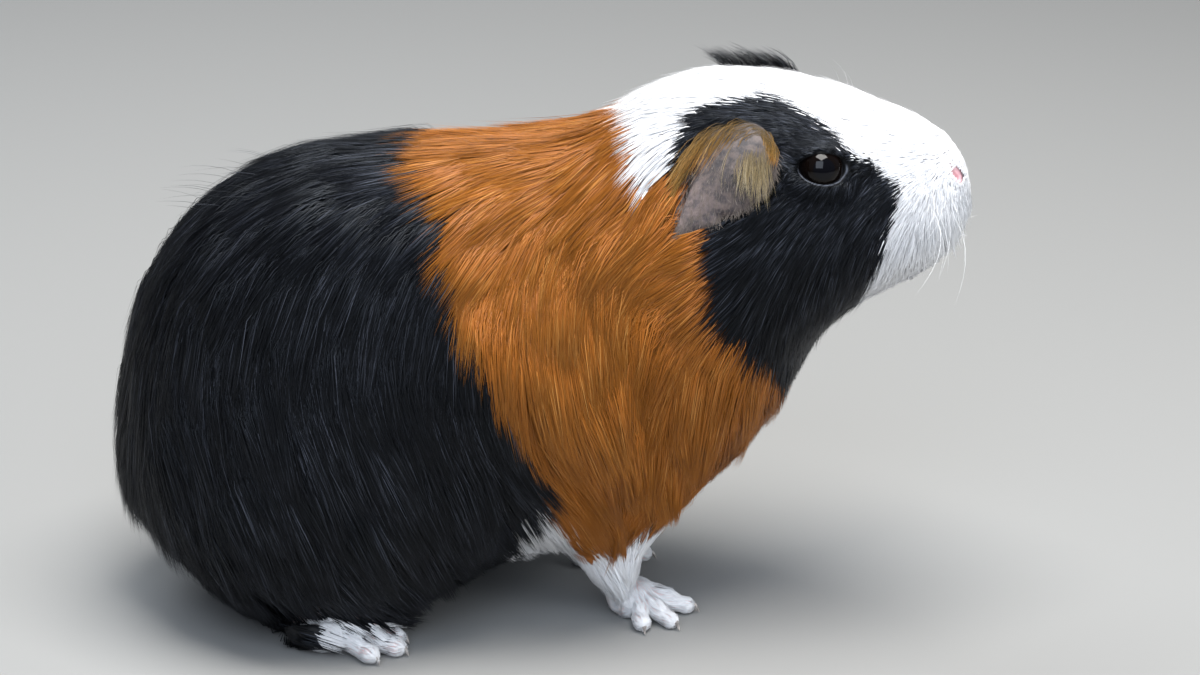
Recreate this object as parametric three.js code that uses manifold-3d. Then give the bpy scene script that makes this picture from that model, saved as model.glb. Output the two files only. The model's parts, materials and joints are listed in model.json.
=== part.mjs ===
// A life-size guinea pig, still, crouched on all four feet with its head lifted and turned a little.
//
// Millimetres, +Z up, +X towards the nose, -Y the animal's right side. The origin is on the floor,
// under the middle of the model's box. The solids are the outside of the coat. They are parted where
// a person would name the parts, by thin cuts, and stand on small flats: the soles and the seat.

import * as THREE from "three";
import { mergeVertices } from "three/addons/utils/BufferGeometryUtils.js";
import Module from "manifold-3d";

const wasm = await Module();
wasm.setup();

const TURN = 2 * Math.PI;
const SIDES = ["right", "left"];
const vector = (numbers) => new THREE.Vector3(...numbers);
const radians = THREE.MathUtils.degToRad;

// ---------------------------------------------------------------- driving dimensions

const CUT = 0.3; // width of the thin cut between two neighbouring solids
const FAR = 400; // larger than the animal, for the boxes that cut it

const HEAD_PIVOT = [46, 0, 112]; // where the head turns on the neck
const HEAD_TURN = -6; // degrees, towards the right side
const HEAD_ROLL = -2; // degrees

const EYE = { ahead: 29.2, up: 15, radius: 5.9, proud: 3.2 }; // proud of the coat by this much
const EAR = {
  middle: [3.9, 29.8, 12.3],
  along: [-29.4, 12.5, -36.2], // heading from the front corner down and back to the tip
  out: [26.7, 12.3, -23], // heading from the root to the free edge
  length: 36,
  breadth: 10.4, // half of the widest part
  skew: 0.62, // below 1 moves the widest part towards the front corner
  bluntness: 0.85, // below 1 rounds off the two ends
  thickness: 1.4,
  cup: 3.2, // how far the middle stands out from the edges
};
const NOSE = { behind: 42, up: 8.5, proud: 0.8, radii: [4.6, 6, 5] };

// Ellipsoids that melt into each other make the trunk. "at" is the centre, "radii" run along, across
// and up the body, and "pitch" lifts the front end, in degrees. A blob with a y is there on both sides.
const TRUNK_BLOBS = [
  { part: "rump", at: [-46, 0, 65], radii: [65.5, 51, 63], pitch: 4 },
  { part: "seat", at: [-62, 0, 38.5], radii: [52, 42, 36.5], pitch: 0 },
  { part: "loin", at: [-6, 0, 73], radii: [62, 47, 57], pitch: 2 },
  { part: "shoulders", at: [24, 0, 84], radii: [40, 41, 46], pitch: 20 },
  { part: "chest", at: [27, 0, 66], radii: [44, 33, 33], pitch: 54 },
  { part: "haunch", at: [-56, 27, 41.5], radii: [42, 29, 41], pitch: 6 },
  { part: "upper arm", at: [20, 19, 46], radii: [20, 16, 29], pitch: -8 },
];
const TRUNK_MELT = 14;

const NECK_BLOBS = [
  { part: "nape", at: [44, 0, 112], radii: [28, 33.5, 33], pitch: 16 },
  { part: "throat", at: [47, 0, 90], radii: [42, 30, 28], pitch: 52 },
];
const NECK_MELT = 16;

// The head's own ellipsoids, measured from HEAD_PIVOT.
const HEAD_BLOBS = [
  { part: "cranium", at: [16, 0, 6], radii: [33, 26.5, 28.5], pitch: -8 },
  { part: "muzzle", at: [41, 0, 6], radii: [24.5, 15, 20], pitch: -18 },
  { part: "snout", at: [51.5, 0, 3], radii: [12.5, 12, 15], pitch: -8 },
  { part: "cheek", at: [20, 13.5, -9], radii: [26, 17, 21], pitch: 20 },
  { part: "whisker pad", at: [48.5, 7, -2], radii: [12, 9.5, 10.5], pitch: 0 },
  { part: "chin", at: [41, 0, -12], radii: [14, 10, 9.5], pitch: 20 },
];
const HEAD_MELT = 12;

// The axis that the body's rings are threaded on, from inside the snout to inside the rump.
const BODY_AXIS = [
  [97, 0, 115],
  [84, 0, 115],
  [62, 0, 110],
  [34, 0, 94],
  [0, 0, 76],
  [-40, 0, 62],
  [-72, 0, 56],
];

const HEAD_CUT = { at: [60, 0, 106], pitch: 27 }; // behind the ears and the jaw
const NECK_CUT = { at: [34, 0, 92], pitch: 30 }; // in front of the shoulders
const HAUNCH_CUT = { at: [-54, 46, 34], radii: [42, 27, 46], pitch: 8 };

const FORELEG = {
  elbow: [12, 24, 34],
  wrist: [22.5, 17.3, 10],
  thickness: [12, 7],
};
const FORE_STEP = { right: 0, left: -11 }; // how far ahead each foreleg is set
const HIND_STEP = { right: 0, left: 0 };
const FOREFOOT = {
  palm: [25, 16.5, 4.1],
  radii: [6.9, 6.6, 4.9],
  toes: [-28, 4, 46, 78], // heading of each toe from straight ahead, outer one last
  reach: [10.5, 14, 14, 12],
  radius: 2.5,
};
const HINDFOOT = {
  palm: [-57, 37.5, 5.4],
  radii: [10.6, 8.4, 6.1],
  toes: [2, 19, 41],
  reach: [18.5, 20, 16.5],
  radius: 2.9,
};
// A toe runs from its root through an arched knuckle to its tip, as shares of its reach.
const TOE = { root: 0.15, knuckle: 0.6, arch: 1.8, tipHeight: 0.75, taper: [1.15, 0.8] };
const CLAW = { length: 3.2, radius: 1, point: 0.36, seat: 0.4, height: 0.9, bend: 0.55, rise: 0.3, tip: 0.6 };

// How many sides and rings each kind of solid has.
const MESH = {
  body: [30, 44],
  haunch: [20, 12],
  eye: [16, 10],
  nose: [14, 8],
  ear: [14, 12],
  leg: [12, 6],
  palm: [12, 6],
  toe: [7, 5],
  claw: [5, 4],
};

// ---------------------------------------------------------------- fields and solids

/** Signed distance, about right near the surface, from a point to an ellipsoid pitched in the XZ plane. */
function ellipsoidDistance(point, { at, radii, pitch }, side) {
  const angle = radians(pitch);
  const dx = point.x - at[0];
  const dz = point.z - at[2];
  const along = dx * Math.cos(angle) + dz * Math.sin(angle);
  const up = dz * Math.cos(angle) - dx * Math.sin(angle);
  const local = [along, point.y - at[1] * side, up];
  const scaled = Math.hypot(...local.map((d, i) => d / radii[i]));
  const slope = Math.hypot(...local.map((d, i) => d / radii[i] ** 2));
  return slope > 0 ? (scaled * (scaled - 1)) / slope : -Math.min(...radii);
}

/** The smaller of two distances, rounded off over "melt" millimetres. */
function melted(a, b, melt) {
  const nearness = Math.max(melt - Math.abs(a - b), 0) / melt;
  return Math.min(a, b) - (nearness * nearness * melt) / 4;
}

function blobsDistance(point, blobs, melt) {
  let distance = Infinity;
  for (const blob of blobs)
    for (const side of blob.at[1] ? [-1, 1] : [1]) {
      const next = ellipsoidDistance(point, blob, side);
      distance = distance === Infinity ? next : melted(distance, next, melt);
    }
  return distance;
}

const headPose = new THREE.Group();
headPose.position.set(...HEAD_PIVOT);
headPose.rotation.set(radians(HEAD_ROLL), 0, radians(HEAD_TURN));
headPose.updateMatrixWorld(true);
const outOfHead = headPose.matrixWorld.clone();
const intoHead = outOfHead.clone().invert();

/** Signed distance to the outside of the coat: trunk, neck and head in one. */
function coatDistance(point) {
  const trunk = blobsDistance(point, TRUNK_BLOBS, TRUNK_MELT);
  const neck = blobsDistance(point, NECK_BLOBS, NECK_MELT);
  const head = blobsDistance(point.clone().applyMatrix4(intoHead), HEAD_BLOBS, HEAD_MELT);
  return melted(melted(trunk, neck, NECK_MELT), head, HEAD_MELT);
}

/** A mesh's geometry as a manifold solid. */
function solidOf(geometry) {
  geometry.deleteAttribute("normal");
  geometry.deleteAttribute("uv");
  const merged = mergeVertices(geometry, 1e-3);
  return new wasm.Manifold(
    new wasm.Mesh({
      numProp: 3,
      vertProperties: merged.getAttribute("position").array,
      triVerts: new Uint32Array(merged.index.array),
    }),
  );
}

/** A solid with a sphere's rings, whose place(share, turn) gives each point from end to end and round. */
function ringedSolid([around, along], place) {
  const sphere = new THREE.SphereGeometry(1, around, along);
  const position = sphere.getAttribute("position");
  for (let row = 0; row <= along; row++)
    for (let column = 0; column <= around; column++) {
      const turn = row % along ? ((column % around) / around) * TURN : 0;
      const point = place(row / along, turn);
      position.setXYZ(row * (around + 1) + column, point.x, point.y, point.z);
    }
  return solidOf(sphere);
}

/** A ray that leaves a curve: polar 0 points back off its start, a half turn off its end. */
function rayFrom(curve, share, polar, turn) {
  const across = new THREE.Vector3(0, 1, 0);
  const back = curve.getTangentAt(share).negate();
  const up = back.clone().cross(across).normalize();
  const outwards = up.multiplyScalar(-Math.cos(turn)).addScaledVector(across, Math.sin(turn));
  return back.multiplyScalar(Math.cos(polar)).addScaledVector(outwards, Math.sin(polar));
}

/** How far along a ray from inside a field the surface is: found by striding, then by halving. */
function surfaceReach(origin, direction, field) {
  const stride = 2;
  const halvings = 20;
  const at = (reach) => field(origin.clone().addScaledVector(direction, reach));
  let outside = stride;
  while (at(outside) < 0) outside += stride;
  let inside = outside - stride;
  for (let i = 0; i < halvings; i++) {
    const middle = (inside + outside) / 2;
    if (at(middle) < 0) inside = middle;
    else outside = middle;
  }
  return inside;
}

/** The coat's outside as one solid, grown by "grow" millimetres. */
function coatSolid(grow = 0) {
  const axis = new THREE.CatmullRomCurve3(BODY_AXIS.map(vector));
  return ringedSolid(MESH.body, (share, turn) => {
    const origin = axis.getPointAt(share);
    const ray = rayFrom(axis, share, share * Math.PI, turn);
    const reach = surfaceReach(origin, ray, (point) => coatDistance(point) - grow);
    return origin.addScaledVector(ray, reach);
  });
}

/** A tapering rod with round ends along a line of points. */
function rodSolid(mesh, points, radii) {
  const line = new THREE.CatmullRomCurve3(points);
  return ringedSolid(mesh, (share, turn) => {
    const radius = THREE.MathUtils.lerp(radii[0], radii[1], share);
    return line.getPointAt(share).addScaledVector(rayFrom(line, share, share * Math.PI, turn), radius);
  });
}

function ellipsoidSolid(mesh, { at, radii, pitch = 0 }, grow = 0) {
  const sphere = new THREE.SphereGeometry(1, ...mesh)
    .scale(...radii.map((radius) => radius + grow))
    .rotateY(-radians(pitch))
    .translate(...at);
  return solidOf(sphere);
}

/** The half of space in front of (1) or behind (-1) a plane that leans back by its pitch. */
function halfSpace({ at, pitch }, sign) {
  const box = new THREE.BoxGeometry(FAR, FAR, FAR)
    .translate((sign * (FAR + CUT)) / 2, 0, 0)
    .rotateY(-radians(pitch))
    .translate(...at);
  return solidOf(box);
}

const aboveFloor = solidOf(new THREE.BoxGeometry(FAR, FAR, FAR).translate(0, 0, FAR / 2));
const largest = (solid) => solid.decompose().sort((a, b) => b.volume() - a.volume())[0];
const toWorld = (solid) => solid.transform(outOfHead.toArray());

/** A solid made for the left side, on that side or mirrored to the right. */
const onSide = (solid, side) => (side === "left" ? solid : solid.mirror([0, 1, 0]));

// ---------------------------------------------------------------- finishes and groups

const finish = (color, roughness) => new THREE.MeshStandardMaterial({ color, roughness, metalness: 0 });
const BLACK_COAT = finish(0x1a1a1d, 0.7);
const GINGER_COAT = finish(0xb5651d, 0.7);
const WHITE_COAT = finish(0xe9e6e2, 0.7);
const EYE_BLACK = finish(0x07080a, 0.08);
const EAR_SKIN = finish(0x857a78, 0.6);
const NOSE_SKIN = finish(0xd9a3a3, 0.5);
const CLAW_HORN = finish(0xb9a9a0, 0.4);

const model = new THREE.Group();
const headGroup = new THREE.Group();
headGroup.position.copy(headPose.position);
headGroup.rotation.copy(headPose.rotation);
model.add(headGroup);

/** A solid as a named mesh in a group. */
function addPiece(name, solid, material, group = model) {
  const { vertProperties, triVerts, numProp } = solid.getMesh();
  const geometry = new THREE.BufferGeometry()
    .setAttribute("position", new THREE.BufferAttribute(vertProperties, numProp))
    .setIndex(new THREE.BufferAttribute(triVerts, 1));
  geometry.computeVertexNormals();
  const mesh = new THREE.Mesh(geometry, material);
  mesh.name = name;
  group.add(mesh);
}

// ---------------------------------------------------------------- head, neck and trunk

/** How far from a point inside the head, along a heading, the coat's outside is, in the head's frame. */
function headReach(start, heading) {
  const field = (point) => coatDistance(point.clone().applyMatrix4(outOfHead));
  return surfaceReach(vector(start), vector(heading), field);
}

/** The left eye, sunk in the side of the head as deep as its "proud" leaves it, in the head's frame. */
function eyeSolid(grow = 0) {
  const middle = headReach([EYE.ahead, 0, EYE.up], [0, 1, 0]) + EYE.proud - EYE.radius;
  const eye = { at: [EYE.ahead, middle, EYE.up], radii: Array(3).fill(EYE.radius) };
  return ellipsoidSolid(MESH.eye, eye, grow);
}

/** The bare end of the nose, a pad that stands a little out of the front of the snout. */
function noseSolid(grow = 0) {
  const front = NOSE.behind + headReach([NOSE.behind, 0, NOSE.up], [1, 0, 0]) + NOSE.proud;
  const pad = { at: [front - NOSE.radii[0], 0, NOSE.up], radii: NOSE.radii };
  return toWorld(ellipsoidSolid(MESH.nose, pad, grow));
}

/** A cupped petal that hangs from a slanting root high on the left side, in the head's frame. */
function earSolid() {
  const along = vector(EAR.along).normalize();
  const face = vector(EAR.out).cross(along).normalize();
  const out = along.clone().cross(face).normalize();
  return ringedSolid(MESH.ear, (share, turn) => {
    const down = (1 - Math.cos(share * Math.PI)) / 2;
    const round = Math.max(Math.sin(Math.PI * down ** EAR.skew), 0);
    const across = Math.cos(turn);
    const cup = EAR.cup * (1 - across ** 2) * round;
    const thick = (EAR.thickness / 2) * Math.sin(turn) * Math.min(1, 3 * round);
    return vector(EAR.middle)
      .addScaledVector(along, EAR.length * (down - 0.5))
      .addScaledVector(out, EAR.breadth * round ** EAR.bluntness * across)
      .addScaledVector(face, cup + thick);
  });
}

function buildHeadNeckTrunk(coat) {
  const head = coat.intersect(halfSpace(HEAD_CUT, 1));
  const neck = coat.intersect(halfSpace(HEAD_CUT, -1)).intersect(halfSpace(NECK_CUT, 1));
  let trunk = coat.intersect(halfSpace(NECK_CUT, -1));

  let bareHead = head.subtract(noseSolid(CUT));
  for (const side of SIDES) bareHead = bareHead.subtract(toWorld(onSide(eyeSolid(CUT), side)));
  addPiece("head", bareHead, WHITE_COAT);
  addPiece("nose", head.intersect(noseSolid()), NOSE_SKIN);
  addPiece("neck", neck, GINGER_COAT);

  for (const side of SIDES) {
    const haunch = onSide(ellipsoidSolid(MESH.haunch, HAUNCH_CUT), side);
    addPiece(`haunch_${side}`, trunk.intersect(haunch), BLACK_COAT);
    trunk = trunk.subtract(onSide(ellipsoidSolid(MESH.haunch, HAUNCH_CUT, CUT), side));
  }
  addPiece("trunk", trunk, BLACK_COAT);
}

function buildEyesAndEars(grownCoat) {
  for (const side of SIDES) {
    addPiece(`eye_${side}`, onSide(eyeSolid(), side), EYE_BLACK, headGroup);
    const ear = toWorld(onSide(earSolid(), side)).subtract(grownCoat);
    addPiece(`ear_${side}`, largest(ear).transform(intoHead.toArray()), EAR_SKIN, headGroup);
  }
}

// ---------------------------------------------------------------- legs and feet

/** The pad and toes of a left foot, cut flat at the floor, with the place and heading of each toe's tip. */
function footParts({ palm, radii, toes, reach, radius }) {
  let solid = ellipsoidSolid(MESH.palm, { at: palm, radii });
  const tips = toes.map((heading, i) => {
    const ahead = new THREE.Vector3(Math.cos(radians(heading)), Math.sin(radians(heading)), 0);
    const at = (share, height) => vector(palm).addScaledVector(ahead, reach[i] * share).setZ(height);
    const line = [at(TOE.root, palm[2]), at(TOE.knuckle, radius + TOE.arch), at(1, radius * TOE.tipHeight)];
    solid = solid.add(rodSolid(MESH.toe, line, TOE.taper.map((share) => share * radius)));
    return { place: at(1, radius * CLAW.height).addScaledVector(ahead, radius * CLAW.seat), ahead };
  });
  return { solid: solid.intersect(aboveFloor), tips };
}

/** A claw that leaves a toe's tip and droops to just above the floor, grown for the hollow it sits in. */
function clawSolid({ place, ahead }, grow = 0) {
  const at = (share, height) => place.clone().addScaledVector(ahead, CLAW.length * share).setZ(height);
  const line = [place, at(CLAW.bend, place.z + CLAW.rise), at(1, CLAW.tip)];
  return rodSolid(MESH.claw, line, [CLAW.radius + grow, CLAW.radius * CLAW.point + grow]);
}

/** The foot and the claws of one side, clear of the solid that it grows out of. */
function buildFoot(name, shape, side, step, grownNeighbour) {
  const { solid, tips } = footParts(shape);
  const placed = (part) => onSide(part, side).translate([step, 0, 0]);
  let foot = placed(solid).subtract(grownNeighbour);
  tips.forEach((tip, i) => {
    foot = foot.subtract(placed(clawSolid(tip, CUT)));
    addPiece(`claw_${name}_${side}_${i + 1}`, placed(clawSolid(tip)), CLAW_HORN);
  });
  addPiece(`${name}_${side}`, largest(foot), WHITE_COAT);
}

function buildLegs(grownCoat) {
  const joints = [FORELEG.elbow, FORELEG.wrist].map(vector);
  const leg = rodSolid(MESH.leg, joints, FORELEG.thickness).intersect(aboveFloor);
  for (const side of SIDES) {
    const placed = onSide(leg, side).translate([FORE_STEP[side], 0, 0]);
    addPiece(`foreleg_${side}`, largest(placed.subtract(grownCoat)), WHITE_COAT);
    buildFoot("forefoot", FOREFOOT, side, FORE_STEP[side], placed.add(grownCoat));
    buildFoot("hindfoot", HINDFOOT, side, HIND_STEP[side], grownCoat);
  }
}

const coat = coatSolid().intersect(aboveFloor);
const grownCoat = coatSolid(CUT);
buildHeadNeckTrunk(coat);
buildEyesAndEars(grownCoat);
buildLegs(grownCoat);

const box = new THREE.Box3().setFromObject(model);
const middle = box.getCenter(new THREE.Vector3());
model.position.set(-middle.x, -middle.y, -box.min.z);

export default model;
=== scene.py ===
"""A life-size guinea pig: skin, coat, eyes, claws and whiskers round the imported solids.

The solids are the outside of the coat. One skin takes the place of every node of flesh and lies
inside them by the coat's depth. Locks of hair grow from it along the lie of the coat, out to the
solids. Anatomy is measured in millimetres here, and becomes metres where a mesh is made.
"""

import json
import logging
import math
from contextlib import contextmanager
from dataclasses import dataclass, field
from enum import Enum
from typing import Any, Callable, Iterator, Sequence

import bpy
import numpy as np
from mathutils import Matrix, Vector
from mathutils.bvhtree import BVHTree
from mathutils.kdtree import KDTree

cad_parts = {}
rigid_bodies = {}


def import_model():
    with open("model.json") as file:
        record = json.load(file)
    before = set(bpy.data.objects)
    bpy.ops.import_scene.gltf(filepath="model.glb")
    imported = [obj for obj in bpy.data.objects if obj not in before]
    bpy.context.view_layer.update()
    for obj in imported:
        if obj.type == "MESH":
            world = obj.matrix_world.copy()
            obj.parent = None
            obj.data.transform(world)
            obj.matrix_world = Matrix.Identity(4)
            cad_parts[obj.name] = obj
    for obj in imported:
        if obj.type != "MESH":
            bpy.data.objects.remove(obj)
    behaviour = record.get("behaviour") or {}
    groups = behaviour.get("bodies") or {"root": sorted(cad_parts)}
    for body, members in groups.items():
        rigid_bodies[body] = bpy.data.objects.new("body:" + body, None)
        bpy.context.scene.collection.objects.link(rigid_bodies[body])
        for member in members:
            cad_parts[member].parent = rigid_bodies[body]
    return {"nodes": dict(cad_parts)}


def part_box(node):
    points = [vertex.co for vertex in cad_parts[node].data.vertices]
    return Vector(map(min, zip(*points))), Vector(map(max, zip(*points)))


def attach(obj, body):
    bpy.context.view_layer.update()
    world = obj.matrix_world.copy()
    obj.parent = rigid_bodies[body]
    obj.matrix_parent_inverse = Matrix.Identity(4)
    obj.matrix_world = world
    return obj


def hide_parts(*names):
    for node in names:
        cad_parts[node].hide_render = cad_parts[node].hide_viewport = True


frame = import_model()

MM = 0.001
PATCH = 0.003
SIDES = {"right": -1.0, "left": 1.0}
BODY = "root"
Array = np.ndarray
log = logging.getLogger("guinea_pig")


# ---------------------------------------------------------------- small maths


def smoothstep(start: Any, end: Any, value: Array) -> Array:
    """A smooth 0 to 1 as value goes from start to end.

    Args:
        start: Where the step begins.
        end: Where it ends, which may be below start.
        value: The numbers to step.

    Returns:
        The step of each number.
    """
    share = np.clip((value - start) / (end - start), 0.0, 1.0)
    return share * share * (3.0 - 2.0 * share)


def bell(value: Array, middle: float, width: float) -> Array:
    """A smooth bump of height 1 at middle, about width wide on each side."""
    return np.exp(-(((value - middle) / width) ** 2))


def unit(vectors: Array) -> Array:
    """The vectors at length 1."""
    return vectors / np.maximum(np.linalg.norm(vectors, axis=-1, keepdims=True), 1e-9)


def tangent(vectors: Array, normals: Array) -> Array:
    """The vectors laid flat on the surface that has these normals, at length 1."""
    return unit(vectors - normals * np.sum(vectors * normals, axis=-1, keepdims=True))


def wander(points: Array, size: float, seed: int) -> Array:
    """Smooth noise in space, about -1 to 1.

    Args:
        points: Places, in millimetres.
        size: How far apart its swells are, in millimetres.
        seed: Which noise.

    Returns:
        One number for each place.
    """
    rng = np.random.default_rng(seed)
    waves = 7
    headings = unit(rng.normal(size=(waves, 3)))
    pitches = rng.uniform(0.7, 1.5, waves) * 2.0 * math.pi / size
    phases = rng.uniform(0.0, 2.0 * math.pi, waves)
    return np.sin((points @ headings.T) * pitches + phases).sum(axis=1) / math.sqrt(waves)


def edge_distance(points: Array, a: Array, b: Array) -> Array:
    """How far each point is from the straight edge between two corners.

    Args:
        points: The points.
        a: One corner.
        b: The other.

    Returns:
        The distance of each point.
    """
    edge = b - a
    share = np.clip(((points - a) @ edge) / (edge @ edge), 0.0, 1.0)
    return np.linalg.norm(points - a - share[:, None] * edge, axis=1)


def line_distance(points: Array, line: Sequence[tuple[float, ...]]) -> Array:
    """How far each point is from a line through some corners."""
    corners = np.array(line, float)
    return np.min([edge_distance(points, a, b) for a, b in zip(corners, corners[1:])], axis=0)


def inside_outline(points: Array, outline: Sequence[tuple[float, float]]) -> Array:
    """How far inside a closed outline each flat point lies, below 0 outside.

    Args:
        points: Flat places, one row each.
        outline: The corners in order.

    Returns:
        The signed distance of each point.
    """
    corners = np.array(outline, float)
    nearest = np.full(len(points), np.inf)
    crossed = np.zeros(len(points), bool)
    for a, b in zip(corners, np.roll(corners, -1, axis=0)):
        edge = b - a
        nearest = np.minimum(nearest, edge_distance(points, a, b))
        spans = (a[1] > points[:, 1]) != (b[1] > points[:, 1])
        rise = np.where(edge[1] == 0.0, 1e-9, edge[1])
        crossed ^= spans & (points[:, 0] < a[0] + edge[0] * (points[:, 1] - a[1]) / rise)
    return np.where(crossed, nearest, -nearest)


# ---------------------------------------------------------------- meshes


def deselect() -> None:
    """Leaves nothing selected."""
    for other in bpy.context.view_layer.objects:
        other.select_set(False)


def pick(*objects: bpy.types.Object) -> bpy.types.Object:
    """Selects these objects alone and makes the first one active.

    Args:
        objects: The objects.

    Returns:
        The first one.
    """
    deselect()
    for one in objects:
        one.select_set(True)
    bpy.context.view_layer.objects.active = objects[0]
    return objects[0]


@contextmanager
def editing(piece: bpy.types.Object) -> Iterator[None]:
    """Holds a piece open in edit mode with all of it selected.

    Args:
        piece: The piece.
    """
    pick(piece)
    bpy.ops.object.mode_set(mode="EDIT")
    bpy.ops.mesh.select_all(action="SELECT")
    yield
    bpy.ops.object.mode_set(mode="OBJECT")


def ball(segments: int, rings: int, radius: float) -> bpy.types.Object:
    """A ball at the origin.

    Args:
        segments: How many faces it has round its middle.
        rings: How many it has from pole to pole.
        radius: Its radius, in metres.

    Returns:
        The ball.
    """
    deselect()
    bpy.ops.mesh.primitive_uv_sphere_add(segments=segments, ring_count=rings, radius=radius)
    return bpy.context.object


def apply_modifier(piece: bpy.types.Object, kind: str, **settings: Any) -> None:
    """Adds a modifier of a kind to a piece, with its settings, and applies it.

    Args:
        piece: The piece.
        kind: The modifier's type.
        settings: The modifier's settings.
    """
    pick(piece)
    modifier = piece.modifiers.new(kind.lower(), kind)
    for name, value in settings.items():
        setattr(modifier, name, value)
    bpy.ops.object.modifier_apply(modifier=modifier.name)


def read(items: Any, name: str, columns: int, kind: type = np.float32) -> Array:
    """One property of all of a mesh's vertices, edges, faces or corners.

    Args:
        items: The mesh's collection of them.
        name: The property's name.
        columns: How many numbers each one has.
        kind: What kind of numbers.

    Returns:
        The numbers, in a row for each item.
    """
    flat = np.empty(len(items) * columns, kind)
    items.foreach_get(name, flat)
    return flat.reshape(-1, columns)


def places_of(piece: bpy.types.Object) -> Array:
    """A piece's vertices, in millimetres."""
    return read(piece.data.vertices, "co", 3).astype(float) / MM


def set_places(piece: bpy.types.Object, places: Array) -> None:
    """Moves a piece's vertices to these places, in millimetres."""
    piece.data.vertices.foreach_set("co", (places * MM).astype(np.float32).ravel())
    piece.data.update()


def normals_of(piece: bpy.types.Object) -> Array:
    """The normals at a piece's vertices."""
    return read(piece.data.vertex_normals, "vector", 3).astype(float)


def corners_of(piece: bpy.types.Object) -> Array:
    """The vertex at each corner of each face of a piece."""
    return read(piece.data.loops, "vertex_index", 1, np.int32)[:, 0]


def neighbour_sum(piece: bpy.types.Object, values: Array) -> Array:
    """The sum of some rows of numbers over the neighbours of each vertex.

    Args:
        piece: The piece.
        values: A row for each of its vertices.

    Returns:
        A row for each vertex.
    """
    a, b = read(piece.data.edges, "vertices", 2, np.int32).T
    count = len(values)
    sums = [np.bincount(a, column[b], count) + np.bincount(b, column[a], count) for column in values.T]
    return np.stack(sums, axis=1)


def relax(piece: bpy.types.Object, strength: Array, rounds: int) -> None:
    """Smooths a piece without shrinking it.

    Args:
        piece: The piece.
        strength: How far each vertex may follow its neighbours, 0 to 1.
        rounds: How often each vertex moves in and out again.
    """
    inwards, outwards = 0.5, -0.53
    places = places_of(piece)
    neighbours = np.maximum(neighbour_sum(piece, np.ones((len(places), 1))), 1.0)
    for _ in range(rounds):
        for step in (inwards, outwards):
            mean = neighbour_sum(piece, places) / neighbours
            places += (step * strength)[:, None] * (mean - places)
    set_places(piece, places)


def add_attribute(piece: bpy.types.Object, name: str, values: Array) -> None:
    """Keeps up to three numbers for each vertex of a piece, as a colour attribute.

    Args:
        piece: The piece.
        name: The attribute's name.
        values: A row for each vertex.
    """
    colours = np.ones((len(values), 4), np.float32)
    colours[:, : values.shape[1]] = values
    attribute = piece.data.attributes.new(name, "FLOAT_COLOR", "POINT")
    attribute.data.foreach_set("color", colours.ravel())


def add_map(piece: bpy.types.Object, spots: Array) -> None:
    """Gives a piece the map that its colours are kept on, from a spot for each vertex."""
    layer = piece.data.uv_layers.new(name="OFBake")
    layer.uv.foreach_set("vector", spots[corners_of(piece)].astype(np.float32).ravel())


def mesh_from_arrays(name: str, places: Array, triangles: Array) -> bpy.types.Object:
    """A smooth piece from arrays.

    Args:
        name: The piece's name.
        places: Its vertices, in millimetres.
        triangles: Three vertex numbers for each face.

    Returns:
        The piece, at the origin.
    """
    mesh = bpy.data.meshes.new(name)
    mesh.vertices.add(len(places))
    mesh.vertices.foreach_set("co", (places * MM).astype(np.float32).ravel())
    mesh.loops.add(triangles.size)
    mesh.loops.foreach_set("vertex_index", triangles.astype(np.int32).ravel())
    mesh.polygons.add(len(triangles))
    mesh.polygons.foreach_set("loop_start", np.arange(0, triangles.size, 3, dtype=np.int32))
    mesh.polygons.foreach_set("use_smooth", np.ones(len(triangles), bool))
    mesh.update(calc_edges=True)
    piece = bpy.data.objects.new(name, mesh)
    bpy.context.scene.collection.objects.link(piece)
    return piece


def hand_over(piece: bpy.types.Object, slot: str, *nodes: str) -> bpy.types.Object:
    """Puts a finished piece on the body, in place of its nodes, and says so in the log.

    Args:
        piece: The piece.
        slot: Its material slot; not used.
        nodes: The nodes that it replaces, if any.

    Returns:
        The piece.
    """
    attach(piece, BODY)
    if nodes:
        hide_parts(*nodes)
    log.info("%s: %d faces", piece.name, len(piece.data.polygons))
    return piece


# ---------------------------------------------------------------- anatomy


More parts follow.
